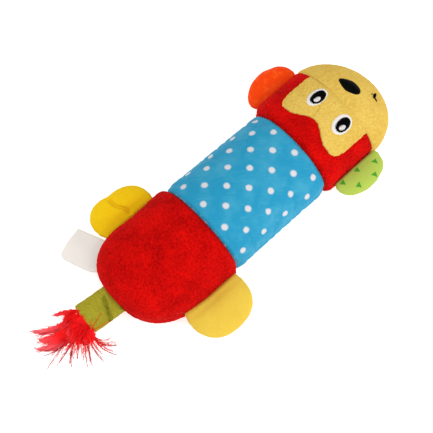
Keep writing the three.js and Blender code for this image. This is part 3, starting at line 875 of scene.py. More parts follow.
def moulded_plastic(name, rgb, roughness):
    """Moulded plastic: milky and waxy, with the faint orange-peel of a blown wall."""
    material, shader = new_material(
        name, Roughness=roughness, IOR=1.51, Subsurface_Weight=0.15, Subsurface_Scale=0.002
    )
    return mottle(material, shader, rgb, shade=0.9, grain=2 * MM, strength=0.15, depth=0.2 * MM)


# Body skins


def side_seam(x):
    """How strongly the side seams draw the cloth in at x: they smooth out towards the tail."""
    smooth_end = 6 * MM
    fade = 16 * MM
    return ease((x - REAR_END - smooth_end) / fade)


def body_point(x, opening, around, sizes, inset=0.0):
    """A point of the stuffed tube at x, a share of the way around from the belly."""
    sweep = 2 * math.pi * around - math.pi / 2
    turn = sweep + SECTION_EASE * math.sin(2 * sweep)
    beside_band = max(REAR_SEAM - x, x - FRONT_SEAM)
    half_width = lerp(BAND_HALF_WIDTH, HALF_WIDTH, ease(beside_band / sizes.shoulder))
    reach = sizes.plush_reach if beside_band > 0 else sizes.cotton_reach
    pinch = sizes.seam_pinch * sum(
        strength * bell(x - seam, reach) for seam, strength in RING_SEAMS.items()
    )
    above_side = HALF_HEIGHT * math.sin(turn)
    side_pinch = sizes.side_pinch * bell(above_side, sizes.side_reach) * side_seam(x)
    out = math.cos(turn)
    # The tuck fades slowly along the band and quickly under the ear
    tuck_reach = 25 * MM if x < FRONT_SEAM else 4 * MM
    tuck = sizes.left_tuck * bell(x - FRONT_SEAM, tuck_reach) * max(out, 0.0)
    y = (half_width - pinch - inset - side_pinch - tuck) * opening * out
    z = SIDE_HEIGHT + (HALF_HEIGHT - pinch - inset) * opening * math.sin(turn)
    return Vector((x, y, max(z, inset)))


def domed_place(seam, start, end, bluntness, straight_share, sizes, lean, inset=0.0):
    """Places a skin that runs from a ring seam to a rounded end, which leans aside."""
    def place(along, around):
        if along < straight_share:
            return body_point(lerp(seam, start, along / straight_share), 1.0, around, sizes, inset)
        share = math.sin(math.pi / 2 * (along - straight_share) / (1 - straight_share))
        point = body_point(lerp(start, end, share), dome(share, bluntness), around, sizes, inset)
        point.y += lean * share
        return point
    return place


def straight_place(start, end, sizes, inset=0.0):
    """Places a skin that runs straight from one ring seam to the next."""
    def place(along, around):
        return body_point(lerp(start, end, along), 1.0, around, sizes, inset)
    return place


def held_at_seams(place):
    """Whether a point of a skin is sewn at a ring or side seam, or pressed on the floor."""
    ring_reach = 0.3 * MM
    side_reach = 0.4 * MM
    pressed = 1.0 * MM
    at_ring = any(abs(place.x - seam) < ring_reach for seam in RING_SEAMS)
    at_side = abs(place.z - SIDE_HEIGHT) < side_reach
    return at_ring or at_side or place.z < pressed


def press_grooves(bm, sizes):
    """Draws the cloth in along the ring seams and the side seams, and notes where cotton frays."""
    side_share = 0.6
    fray_reach = 2.2 * sizes.groove_reach
    bm.normal_update()
    layer = bm.verts.layers.float.new("seam")
    for vert in bm.verts:
        nearest = min(abs(vert.co.x - seam) for seam in RING_SEAMS)
        ring = max(
            strength * bell(vert.co.x - seam, sizes.groove_reach) for seam, strength in RING_SEAMS.items()
        )
        side = side_share * bell(vert.co.z - SIDE_HEIGHT, sizes.groove_reach) * side_seam(vert.co.x)
        vert[layer] = bell(nearest, fray_reach)
        inwards = Vector((0, vert.normal.y, vert.normal.z)) if ring > side else vert.normal
        vert.co -= inwards * (sizes.groove_depth * max(ring, side))


def settle_print(band):
    """Lets the print follow the band's cloth: askew round the tube, and drawn under at the right seam.

    The cloth below the side seams is a piece of its own, so its print starts elsewhere.
    """
    askew = 0.0576
    drawn_under = 6.5 * MM
    drawn_reach = 10 * MM
    lower_start = 12.0 * MM
    print_layer = band.data.uv_layers["UVMap"].data
    for face in band.data.polygons:
        lower = face.center.z < SIDE_HEIGHT
        for number in face.loop_indices:
            place = print_layer[number].uv
            from_top = GIRTH * (0.5 - place.y)
            above_seam = from_top + GIRTH / 4
            from_top += -lower_start if lower else drawn_under * ease(1 - above_seam / drawn_reach)
            place.x += askew * from_top / BAND_LENGTH
            place.y = 0.5 - from_top / GIRTH


def sew_skin(name, length, place, sizes, pile):
    """Makes one skin of the body: a grid, filled by simulation, refined, creased and brushed."""
    rows = round(length / sizes.grid)
    columns = 4 * round(GIRTH / sizes.grid / 4)
    obj = put_in_scene(name, cloth_tube(rows, columns, place))
    swell(obj, held_at_seams, sizes.pressure, sizes.spare, sizes.swell_limit)
    refine(obj, 1)
    bm = bmesh.new()
    bm.from_mesh(obj.data)
    press_grooves(bm, sizes)
    forms[name] = BVHTree.FromBMesh(bm)
    if pile:
        raise_pile(bm, *pile)
    turn_in_edges(bm, depth=3 * MM, tuck=1.5 * MM)
    bm.to_mesh(obj.data)
    bm.free()
    return obj


class TOY_OT_body_skins(bpy.types.Operator):
    """Makes the rear, band, head and muzzle skins"""

    bl_idname = "toy.body_skins"
    bl_label = "Body Skins"

    def execute(self, context):
        sizes = context.scene.toy_body
        colours = context.scene.toy_colours
        red = plush(
            "red_plush", colours.red_tip, colours.red_root_shade, sizes.pile_nub, sheen=0.03, contrast=0.36
        )
        yellow = plush(
            "yellow_velour", colours.yellow_tip, colours.yellow_root_shade, sizes.velour_nub,
            sheen=0.08, contrast=0.4,
        )
        pile = (sizes.pile_height, sizes.pile_nub)
        velour = (sizes.velour_height, sizes.velour_nub)
        # Round an end, the cloth runs further than the end is long
        rear_run = 1.5 * sizes.rear_rounding
        muzzle_run = 1.35 * (MUZZLE_END - MUZZLE_SEAM)
        rear_start = REAR_END + sizes.rear_rounding
        straight = REAR_SEAM - rear_start
        rear_length = straight + rear_run
        rear = sew_skin(
            "rear_skin", rear_length,
            domed_place(
                REAR_SEAM, rear_start, REAR_END, sizes.rear_bluntness, straight / rear_length, sizes,
                sizes.rear_lean,
            ),
            sizes, (*pile, 3.1),
        )
        dress(rear, red, "red_plush", ("rear_top_panel", "rear_bottom_panel"), "stuffed_body")
        head = sew_skin(
            "head_skin", MUZZLE_SEAM - FRONT_SEAM,
            straight_place(FRONT_SEAM, MUZZLE_SEAM, sizes), sizes, (*pile, 7.7),
        )
        dress(head, red, "red_plush", ("head_top_panel", "head_bottom_panel"), "stuffed_body")
        muzzle = sew_skin(
            "muzzle_skin", muzzle_run,
            domed_place(
                MUZZLE_SEAM, MUZZLE_SEAM, MUZZLE_END - sizes.muzzle_trim, sizes.muzzle_bluntness, 0.0,
                sizes, sizes.muzzle_lean,
            ),
            sizes, (*velour, 5.3),
        )
        dress(muzzle, yellow, "yellow_plush", ("muzzle_top_panel", "muzzle_chin_panel"), "stuffed_body")
        band = sew_skin(
            "band_skin", BAND_LENGTH,
            straight_place(REAR_SEAM, FRONT_SEAM, sizes), sizes, None,
        )
        settle_print(band)
        dress(band, dotted_cotton(colours), "blue_cotton", ("band_top_panel", "band_bottom_panel"), None)
        dent_with_squeeze(band, sizes)
        return {"FINISHED"}


# Face


def patch_depth(side, face):
    """How far back the face patch reaches, at a share of its half width from -1 to 1."""
    out = abs(side)
    if out < face.lobe_place:
        notch = (1 + math.cos(math.pi * out / face.lobe_place)) / 2
        return face.patch_length - face.brow_dip * notch
    return face.patch_length * dome((out - face.lobe_place) / (1 - face.lobe_place), face.corner)


def patch_place(face):
    """Places the face patch flat: its top from the muzzle seam back to its edge, then its underside."""
    front = MUZZLE_SEAM - 0.4 * MM
    fray_depth = 0.4 * MM
    fray_step = 2 * MM
    under_depth = 0.4 * MM
    sewn_reach = 6 * MM
    sewn_share = 0.1

    def place(along, around):
        side = -math.cos(math.pi * along)
        fray = fray_depth * noise.noise(Vector((13 * side, 0, 5)))
        depth = patch_depth(side, face) + fray * (1 - side * side)
        back = 2 * around if around < 0.5 else 2 - 2 * around
        from_rim = depth * (1 - back)
        from_side = (1 - abs(side)) * face.patch_half_width
        from_edge = min(from_rim, 2 * from_side)
        roll = 1 - min(from_edge / face.patch_edge, 1.0)
        sunk = lerp(sewn_share, 1.0, ease(depth * back / sewn_reach))
        height = face.patch_thickness * math.sqrt(max(0.0, 1 - roll * roll)) * sunk
        if around > 0.5:
            height = -under_depth * math.sqrt(max(0.0, 1 - roll * roll))
        x = front - depth * back
        half_width = face.patch_half_width + fray_depth * noise.noise(Vector((x / fray_step, side, 9)))
        return Vector((x, face.patch_shift + side * half_width, height))
    return place


def stitched_oval(length, width, height, thread):
    """Satin stitching in an oval: threads side by side along X, each a low ridge across Y."""
    threads = max(4, round(length / thread))
    rows_per_thread = 6
    groove = 0.28
    unevenness = 0.03
    sunk_share = 0.4

    def place(along, around):
        out = 2 * along - 1
        open_here = math.sqrt(max(0.0, 1 - out * out))
        ridge = 1 - groove * abs(math.cos(math.pi * threads * along))
        uneven = 1 + unevenness * math.sin(7.3 * threads * along)
        turn = 2 * math.pi * around
        y = width / 2 * open_here * uneven * math.cos(turn)
        rise = height * ridge * min(1.0, 1.6 * open_here) * math.sin(turn)
        if rise < 0:
            rise *= sunk_share
        return Vector((length / 2 * out, y, rise))
    return cloth_tube(rows_per_thread * threads, 40, place)


def add_stitching(name, bm, form, middle, turn, material, slot, node):
    """Turns stitching, moves it to its place, lays it on the face and dresses it."""
    bmesh.ops.rotate(bm, verts=bm.verts, cent=(0, 0, 0), matrix=Matrix.Rotation(turn, 3, "Z"))
    bmesh.ops.translate(bm, verts=bm.verts, vec=Vector((middle.x, middle.y, 0)))
    lay_on(bm, form)
    bmesh.ops.recalc_face_normals(bm, faces=bm.faces)
    dress(put_in_scene(name, bm), material, slot, (node,), "stuffed_body")


def middle_of(node):
    """The middle of a CAD node's box."""
    low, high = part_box(node)
    return (low + high) / 2


class TOY_OT_face(bpy.types.Operator):
    """Makes the face patch, the eyes, the nose and the mouth"""

    bl_idname = "toy.face"
    bl_label = "Face"

    # Creases in the patch between the eyes: both ends in plan, the depth and half the width
    creases = (
        (Vector((0.0617, 0.0007)), Vector((0.0693, 0.0028)), 0.0007, 0.0007),
        (Vector((0.0717, -0.0030)), Vector((0.0790, 0.0046)), 0.0003, 0.0008),
    )

    # The mouth's stitches: turn in degrees, length and width as shares, and place from the middle
    mouth = (
        (37, 1.15, 1.2, (-0.0012, -0.0007)),
        (74, 0.75, 0.6, (-0.0024, -0.0033)),
        (20, 0.35, 0.5, (-0.0018, 0.0012)),
    )

    def execute(self, context):
        sizes = context.scene.toy_body
        face = context.scene.toy_face
        colours = context.scene.toy_colours
        white = satin_thread("white_embroidery_thread", colours.white_thread, shine=0.3)
        black = satin_thread("black_embroidery_thread", colours.black_thread, shine=0.04)
        self.make_patch(sizes, face)
        self.make_eye("left", face, face.left_eye_width, face.left_eye_turn, white, black)
        self.make_eye("right", face, face.right_eye_width, face.right_eye_turn, white, black)
        muzzle = forms["muzzle_skin"]
        nose = stitched_oval(face.nose_length, face.nose_width, face.stitch_height, face.thread)
        # One end of the nose is drawn out to a point
        pointed = 0.3
        for vert in nose.verts:
            out = vert.co.x / (face.nose_length / 2)
            vert.co.y *= 1 - pointed * ease(out)
        add_stitching(
            "nose_stitching", nose, muzzle, middle_of("nose"), face.nose_turn,
            black, "black_thread", "nose",
        )
        self.make_mouth(face, muzzle, black)
        return {"FINISHED"}

    def make_patch(self, sizes, face):
        """Lays the velour patch on the head, brushes it and keeps its form for the eyes.

        Its front edge is sewn under the muzzle's cloth, and the seam shows only on the left.
        """
        front_reach = 3.5 * MM
        open_from = 14 * MM
        tuck = Vector((1.2 * MM, 0, -0.45 * MM))
        bm = cloth_tube(150, 110, patch_place(face))
        lay_on(bm, forms["head_skin"], lift=0.2 * MM)
        for vert in bm.verts:
            near_front = ease(1 - (MUZZLE_SEAM - vert.co.x) / front_reach)
            tucked = near_front * ease((open_from - vert.co.y) / open_from)
            vert.co += tucked * tuck
            for start, end, depth, reach in self.creases:
                place = vert.co.xy
                share = (place - start).dot(end - start) / (end - start).length_squared
                nearest = start.lerp(end, min(max(share, 0.0), 1.0))
                vert.co.z -= depth * bell((place - nearest).length, reach)
        bmesh.ops.recalc_face_normals(bm, faces=bm.faces)
        forms["patch"] = BVHTree.FromBMesh(bm)
        raise_pile(bm, sizes.velour_height, sizes.velour_nub, 9.1)
        patch = put_in_scene("face_patch_velour", bm)
        dress(patch, bpy.data.materials["yellow_velour"], "yellow_plush", ("face_patch",), "stuffed_body")

    def make_eye(self, side, face, width, turn, white, black):
        """Stitches one eye: a white oval, a black pupil on it, and a white highlight on that."""
        patch = forms["patch"]
        # Each layer's length, width, height in single layers, turn, thread and slot
        layers = (
            ("white", face.eye_length, width, 1.0, turn, white, "white_thread"),
            ("pupil", face.pupil_length, face.pupil_width, 1.7, turn, black, "black_thread"),
            (
                "highlight", face.highlight_length, face.highlight_width, 2.3, face.highlight_turn,
                white, "white_thread",
            ),
        )
        for layer, length, across, rise, turned, material, slot in layers:
            node = f"{side}_eye_{layer}"
            bm = stitched_oval(length, across, rise * face.stitch_height, face.thread)
            add_stitching(
                f"{node}_stitching", bm, patch, middle_of(node), turned, material, slot, node
            )

    def make_mouth(self, face, form, black):
        """Stitches the mouth: a thick knot, a thin thread that trails from it, and a loose stitch."""
        knot = bmesh.new()
        for turn, length, width, place in self.mouth:
            thick = face.mouth_thread * width
            arm = stitched_oval(face.mouth_arm * length, thick, thick, face.thread)
            bmesh.ops.rotate(
                arm, verts=arm.verts, cent=(0, 0, 0), matrix=Matrix.Rotation(math.radians(turn), 3, "Z")
            )
            bmesh.ops.translate(arm, verts=arm.verts, vec=(*place, 0))
            join_to(knot, arm)
        add_stitching(
            "mouth_knot", knot, form, middle_of("mouth_stitch"), 0.0,
            black, "black_thread", "mouth_stitch",
        )


# Ears and feet


def flap_outline(share, bluntness, bulge):
    """How wide a flap is at a share of its reach: rounded at its end, and swollen past its root.

    The swelling is fullest a little before half way.
    """
    return dome(share, bluntness) * (1 + bulge * math.sin(math.pi * share**0.8))


def flap_form(half_length, reach, half_thickness, bluntness, root, bulges, tuck):
    """A flap before filling, lying flat with the bead of its root round the Y axis.

    One end of the root is tucked in further, where the body curves away.
    """
    def place(along, around):
        x = lerp(-root, reach, math.sin(math.pi / 2 * along))
        share = max(x, 0.0) / reach
        turn = 2 * math.pi * around
        # Full from a third of its reach, and closing only near its end
        thick = lerp(root, half_thickness, ease(3 * share)) * math.sqrt(max(0.0, 1 - share**6))
        if x < 0:
            thick = math.sqrt(max(0.0, root * root - x * x))
        bulge = bulges[0] if math.cos(turn) > 0 else bulges[1]
        # The root's ends are square, and the rest of the flap is rounded
        square = lerp(0.55, 1.0, ease(2.5 * share))
        across = math.copysign(abs(math.cos(turn)) ** square, math.cos(turn))
        rise = math.copysign(abs(math.sin(turn)) ** square, math.sin(turn))
        y = half_length * flap_outline(share, bluntness, bulge) * across
        x -= tuck * ease(-across) * (1 - ease(share * 4))
        return Vector((x, y, thick * rise))
    bm = cloth_tube(40, 72, place)
    close_ends(bm)
    return bm


def fit_to(bm, low, high):
    """Stretches a filled flap to its measured box, its root staying on the Y axis."""
    points = [vert.co for vert in bm.verts]
    reach = max(point.x for point in points)
    left = max(point.y for point in points)
    right = -min(point.y for point in points)
    thick = max(abs(point.z) for point in points)
    for point in points:
        point.x *= high.x / reach if point.x > 0 else 1
        point.y *= high.y / left if point.y > 0 else -low.y / right
        point.z *= high.z / thick


def sew_flap(name, joint, droop, half_thickness, root, flap, nodes, outline, tuck=0.0, crease=None):
    """Makes one ear or foot: two layers sewn round their edge, filled by simulation and seamed."""
    bluntness, stretch, lean, bulges = outline
    sewn_reach = 0.8 * MM
    overall_passes = 3
    outline_steps = 40
    boxes = [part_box(node) for node in nodes]
    hinge = Vector(hinges[joint]["pos_m"])
    half_length = max(high.x - low.x for low, high in boxes) / 2
    furthest = max(max(abs(low.y), abs(high.y)) for low, high in boxes)
    reach = stretch * (furthest - abs(hinge.y)) / math.cos(droop)
    thin = flap.start_share * half_thickness
    form = flap_form(half_length, reach, thin, bluntness, root, bulges, tuck)
    obj = put_in_scene(name, form)
    even = obj.modifiers.new("even", "REMESH")
    even.mode = "VOXEL"
    even.voxel_size = flap.grid
    apply_modifiers(obj)
    swell(obj, lambda place: place.x < sewn_reach, flap.pressure, flap.spare, flap.swell_limit)
    shares = [step / outline_steps for step in range(outline_steps)]
    left, right = (
        half_length * max(flap_outline(share, bluntness, bulge) for share in shares) for bulge in bulges
    )
    bm = bmesh.new()
    bm.from_mesh(obj.data)
    outer = [vert for vert in bm.verts if vert.co.x > root]
    for number in range(flap.smoothing):
        bmesh.ops.smooth_vert(
            bm, verts=bm.verts if number < overall_passes else outer, factor=0.5,
            use_axis_x=True, use_axis_y=True, use_axis_z=True,
        )
    fit_to(bm, Vector((0, -right, 0)), Vector((reach, left, half_thickness)))
    for vert in bm.verts:
        vert.co.x += lean * max(vert.co.x, 0.0) * vert.co.y / half_length
    bm.to_mesh(obj.data)
    bm.free()
    core = obj.data.copy()
    refine(obj, 1)
    bm = bmesh.new()
    bm.from_mesh(obj.data)
    bm.normal_update()
    for vert in bm.verts:
        rim = (1 - abs(vert.normal.z)) * bell(vert.co.z, flap.seam_reach)
        vert.co -= vert.normal * (flap.seam_depth * rim)
        if crease and vert.normal.z > 0.2:
            vert.co -= vert.normal * crease(vert.co)
    bmesh.ops.transform(bm, matrix=flap_frame(joint, droop), verts=bm.verts)
    bm.to_mesh(obj.data)
    bm.free()
    return obj, core


def fill_flap(name, core, joint, droop, nodes, material, body):
    """Makes a flap's wadding from a shrunken, lumpy copy of its cover."""
    bm = bmesh.new()
    bm.from_mesh(core)
    middle = Vector((max(vert.co.x for vert in bm.verts) / 2, 0, 0))
    shrink = (0.82, 0.86, 0.6)
    bmesh.ops.scale(bm, vec=shrink, space=Matrix.Translation(-middle), verts=bm.verts)
    lumpy(bm, depth=0.25 * MM, lump=4 * MM, seed=1.3)
    bmesh.ops.transform(bm, matrix=flap_frame(joint, droop), verts=bm.verts)
    dress(put_in_scene(name, bm), material, "fibre_fill", nodes, body)


class TOY_OT_ears(bpy.types.Operator):
    """Makes the two ears and their wadding"""

    bl_idname = "toy.ears"
    bl_label = "Ears"

    # How square each ear is, its stretch beyond the frame's, how far its end leans to its own +Y side,
    # and how far its two sides swell, as shares
    outlines = {
        "left": (2.5, 1.09, -0.07, (0.12, 0.11)),
        "right": (2.5, 1.04, 0.05, (0.085, 0.10)),
    }

    def execute(self, context):
        flap = context.scene.toy_flaps
        colours = context.scene.toy_colours
        fibre = fibre_fill(colours)
        cloths = {
            "left": (ear_satin(colours), "orange_satin"),
            "right": (ear_cotton(colours), "green_cotton"),
        }
        for side, (material, slot) in cloths.items():
            body = f"{side}_ear"
            joint = f"{side}_ear_flap"
            nodes = (f"{body}_front", f"{body}_back")
            cover, core = sew_flap(
                f"{body}_cover", joint, flap.ear_droop, flap.ear_half_thickness, flap.ear_root, flap, nodes,
                self.outlines[side],
            )
            dress(cover, material, slot, nodes, body)
            fill_flap(
                f"{body}_filling", core, joint, flap.ear_droop, (f"{body}_wadding",), fibre, body
            )
        return {"FINISHED"}


class TOY_OT_feet(bpy.types.Operator):
    """Makes the two feet and their stuffing"""

    bl_idname = "toy.feet"
    bl_label = "Feet"

    # The same for each foot
    outlines = {
        "left": (3.35, 1.05, 0.13, (0.158, 0.075)),
        "right": (2.8, 1.0, 0.02, (0.09, 0.13)),
    }

    def execute(self, context):
        flap = context.scene.toy_flaps
        sizes = context.scene.toy_body
        colours = context.scene.toy_colours
        fibre = bpy.data.materials["polyester_fibre_fill"]
        nub = sizes.velour_nub
        velours = {
            "left": plush(
                "foot_velour", colours.foot_tip, colours.foot_root, nub, sheen=0.04, contrast=0.6
            ),
            # The right foot's velour is the darker, paler copy: painted shade and painted sheen for the
            # light on that foot
            "right": plush(
                "shaded_foot_velour", colours.right_foot_shaded_tip, colours.right_foot_shaded_root, nub, sheen=0.08, contrast=0.6
            ),
        }

        def left_crease(place):
            """A fold that runs out from the left foot's root and bends forwards."""
            aside = -2.0 * MM
            bend = 4.5 * MM * ease((place.x - 1 * MM) / (10 * MM))
            begins = ease((place.x + 2 * MM) / (3 * MM))
            ends = ease((20 * MM - place.x) / (4 * MM))
            depth = flap.crease_depth * (begins * ends)
            return depth * bell(place.y - (aside + bend), flap.crease_reach)

        feet = {"left": (0.0, left_crease), "right": (flap.right_foot_tuck, None)}
        for side, (tuck, crease) in feet.items():
            body = f"{side}_foot"
            joint = f"{side}_foot_tilt"
            nodes = (f"{body}_top", f"{body}_sole")
            cover, core = sew_flap(
                f"{body}_cover", joint, flap.foot_droop, flap.foot_half_thickness, flap.foot_root, flap,
                nodes, self.outlines[side], tuck, crease,
            )
            dress(cover, velours[side], "foot_velour", nodes, body)
            fill_flap(
                f"{body}_filling", core, joint, flap.foot_droop, (f"{body}_stuffing",), fibre, body
            )
        return {"FINISHED"}


# Tail, tuft and label


class TOY_OT_tail(bpy.types.Operator):
    """Makes the tail's folded strap"""

    bl_idname = "toy.tail"
    bl_label = "Tail Strap"

    def execute(self, context):
        tail = context.scene.toy_tail
        sizes = context.scene.toy_body
        colours = context.scene.toy_colours
        olive = plush(
            "olive_velour", colours.olive_tip, colours.olive_root_shade, sizes.velour_nub,
            sheen=0.08, contrast=0.5,
        )
        axes = flap_frame("tail_lift", tail.strap_droop)
        bm = cloth_tube(60, 96, lambda along, around: self.strap_point(along, around, tail))
        close_ends(bm)
        bmesh.ops.transform(bm, matrix=axes, verts=bm.verts)
        raise_pile(bm, sizes.velour_height, sizes.velour_nub, 1.7)
        forms["strap"] = BVHTree.FromBMesh(bm)
        strap = put_in_scene("tail_strap_cloth", bm)
        dress(strap, olive, "olive_plush", ("tail_strap",), "tail")
        return {"FINISHED"}

    def strap_point(self, along, around, tail):
        """A point of the strap: a soft folded section with a round root, creased across near the body."""
        waver_depth = 0.5 * MM
        waver_step = 6 * MM
        corner_radius = 1.2 * MM
        root_run = 5 * MM
        fold_place = 4.7 * MM
        fold_slant = 0.4
        fold_reach = 2.0 * MM
        ridge_height = 1.7 * MM
        ridge_place = 3.2 * MM
        ridge_reach = 1.8 * MM
        sag_depth = 0.7 * MM
        turn = 2 * math.pi * around
        root = tail.strap_root
        x = lerp(-root, tail.strap_length, along)
        across = math.copysign(abs(math.cos(turn)) ** 0.5, math.cos(turn))
        waver = waver_depth * noise.noise(Vector((x / waver_step, 3 * across, 4)))
        corner = max(0.0, 1 - (tail.strap_length - x) / corner_radius)
        rounded = corner_radius * (1 - math.sqrt(1 - corner * corner))
        y = (lerp(0.48, 0.50, along) * tail.strap_width + waver - rounded) * across
        thick = lerp(root, tail.strap_thickness / 2, ease(x / root_run))
        if x < 0:
            thick = math.sqrt(max(0.0, root * root - x * x))
        z = thick * math.copysign(abs(math.sin(turn)) ** 0.8, math.sin(turn))
        if z > 0:
            past_fold = x - fold_place - fold_slant * y
            here = ease((y + 8 * MM) / (6 * MM)) * ease(2 * z / thick)
            z += here * ridge_height * bell(past_fold + ridge_place, ridge_reach)
            z -= here * tail.strap_crease * bell(past_fold, fold_reach)
        sag = sag_depth * math.sin(math.pi * max(x, 0.0) / tail.strap_length) * (1 - across * across)
        # The root lies over to one side and the end to the other
        aside = lerp(-1.43, 0.58, along) * tail.strap_drift
        return Vector((x, y - aside, z - sag))


class TOY_OT_tuft(bpy.types.Operator):
    """Makes the feather tuft at the tail's end"""

    bl_idname = "toy.tuft"
    bl_label = "Feather Tuft"

    # Each plume: its root across the strap, its direction in degrees from the tail's own, its reach as a
    # share of the longest, its bow and the width of its vane
    plumes = (
        (-0.0095, -30, 0.44, 0.00, 0.0036), (-0.0060, -22, 0.93, 0.43, 0.0060),
        (-0.0035, -13, 0.89, 0.70, 0.0095), (-0.0025, -8, 1.00, 0.67, 0.0072),
    )
    # The short plumes round them, given in the same way
    core = (
        (-0.0085, -4, 0.30, 0.00, 0.0070), (-0.0055, 4, 0.38, 0.20, 0.0095),
        (-0.0030, 13, 0.42, 0.10, 0.0105), (-0.0005, 22, 0.43, 0.00, 0.0105),
        (0.0025, 32, 0.38, -0.10, 0.0105), (0.0050, 42, 0.31, -0.10, 0.0095),
        (0.0075, 54, 0.24, -0.20, 0.0075),
    )
    # Each loose wisp: its root across the strap, its direction, its reach and its bow
    wisps = (
        (-0.0020, 3, 0.93, 0.45), (-0.0010, 13, 1.07, -0.10), (0.0000, 18, 0.92, 0.08),
        (0.0005, 34, 0.82, -0.44), (0.0008, 31, 0.76, -0.30), (0.0020, 38, 0.63, -0.20),
        (0.0030, 51, 0.72, -0.24), (0.0040, 59, 0.69, -0.21), (0.0055, 76, 0.63, -0.49),
        (0.0070, 100, 0.63, -0.63), (0.0080, 116, 0.51, -1.10),
    )
    # The lines of one wisp: length as a share of its reach, thickness in strands, and stray in degrees
    wisp_lines = ((1.0, 2.4, 1), (0.9, 1.1, 5), (0.8, 1.1, 5), (0.65, 1.1, 5))
    # How high roots lie on the strap's end, and how far plumes sink, as a share of their reach
    plume_root = 0.8 * MM
    plume_sink = 0.29
    core_root = 1.9 * MM
    core_sink = 0.20
    core_strands = 240
    barb_step = 0.35 * MM
    floor_gap = 0.6 * MM
    # Short barbs that cover the strap's end, and how far past it they start
    short_barbs = 46
    past_end = 0.8 * MM
    # Barbs that have come loose and lie back on the strap, each by three points along and across it
    fallen = (
        ((0.0222, 0.0070), (0.0156, 0.0051), (0.0104, 0.0039)),
        ((0.0222, 0.0088), (0.0150, 0.0104), (0.0087, 0.0112)),
        ((0.0225, 0.0050), (0.0200, 0.0036), (0.0180, 0.0031)),
    )

    def execute(self, context):
        tail = context.scene.toy_tail
        draw = random.Random(11)
        barbs = self.new_lines(tail)
        stems = self.new_lines(tail)
        axes = flap_frame("tuft_swing", 0.0)
        bm = bmesh.new()
        bm.loops.layers.uv.new("UVMap")
        self.draw_plumes(bm, barbs, axes, tail, draw)
        self.draw_wisps(stems, barbs, axes, tail, draw)
        self.draw_core(barbs, axes, draw)
        first_barb = len(bm.verts)
        self.pour(context, bm, barbs)
        first_stem = len(bm.verts)
        self.pour(context, bm, stems)
        # The material reads how far out a point is, and whether it is in a loose barb or a dark stem
        along, loose, stem = (bm.verts.layers.float.new(name) for name in ("along", "loose", "stem"))
        for number, vert in enumerate(bm.verts):
            vert[along] = (vert.co - axes.translation).length / tail.tuft_reach
            vert[loose] = float(number >= first_barb)
            vert[stem] = float(number >= first_stem)
        feather = feather_down(context.scene.toy_colours)
        tuft = put_in_scene("tail_tuft_plumes", bm)
        dress(tuft, feather, "red_feather", ("tail_tuft",), None)
        # Tied in the strap's end, and free to swing a little past it
        tied, free = (axes @ Vector((x * MM, 0, 0)) for x in (-1.5, 4.0))
        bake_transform(tuft, "tail", "tuft", start=tied, end=free)
        self.make_fallen(context, tail, feather)
        return {"FINISHED"}

    def draw_plumes(self, bm, barbs, axes, tail, draw):
        """Draws the long plumes and the short ones round them: each a vane with barbs along its quill."""
        for plumes, lift, sink in (
            (self.plumes, self.plume_root, self.plume_sink), (self.core, self.core_root, self.core_sink),
        ):
            for across, fan, share, bow, width in plumes:
                reach = share * tail.tuft_reach
                quill = self.quill(across, fan, reach, bow, lift, sink, draw)
                self.add_vane(bm, axes, quill, width, tail.vane, draw)
                lengths = (0.12 * reach, 0.24 * reach)
                count = round(reach / self.barb_step)
                self.add_barbs(barbs, axes, quill, width, count, (3, 16), lengths, draw)

    def draw_wisps(self, stems, barbs, axes, tail, draw):
        """Draws the loose wisps: a dark stem and a few finer lines beside it, all with sparse barbs."""
        for across, fan, share, bow in self.wisps:
            for length, thick, stray in self.wisp_lines:
                turn = fan + draw.uniform(-stray, stray)
                reach = length * share * tail.tuft_reach
                quill = self.quill(across, turn, reach, bow, self.plume_root, self.plume_sink, draw)
                lines = stems if length == 1.0 else barbs
                self.add_line(lines, axes, [quill(step / 9) for step in range(10)], thick)
                self.add_barbs(barbs, axes, quill, 0.6 * MM, 12, (6, 24), (3 * MM, 6 * MM), draw)

    def draw_core(self, barbs, axes, draw):
        """Draws the short strands that fill the middle, fanned from one side of the strap to the other."""
        for _ in range(self.core_strands):
            share = draw.random()
            turn = math.radians(lerp(-6, 58, share) + draw.uniform(-14, 14))
            root = Vector((draw.uniform(-1.2, 2), lerp(-10, 9, share), draw.uniform(0.5, 2.8))) * MM
            heading = Vector((math.cos(turn), math.sin(turn), draw.uniform(-0.35, 0.15)))
            length = (8 + 8 * math.sin(math.pi * share)) * draw.uniform(0.6, 1.05) * MM
            self.add_strand(barbs, axes, root, heading, length, draw, 1.3)

    def new_lines(self, tail):
        """A curve object's data that barbs are drawn into."""
        curve = bpy.data.curves.new("tail_tuft_strands", "CURVE")
        curve.dimensions = "3D"
        curve.bevel_depth = tail.strand
        curve.bevel_resolution = 0
        curve.use_fill_caps = True
        return curve

    def pour(self, context, bm, curve):
        """Adds drawn lines to a mesh as thin tubes."""
        drawn = bpy.data.objects.new("tuft_drawing", curve)
        context.scene.collection.objects.link(drawn)
        graph = context.evaluated_depsgraph_get()
        strands = bpy.data.meshes.new_from_object(drawn.evaluated_get(graph))
        bpy.data.objects.remove(drawn)
        bm.from_mesh(strands)
        bpy.data.meshes.remove(strands)

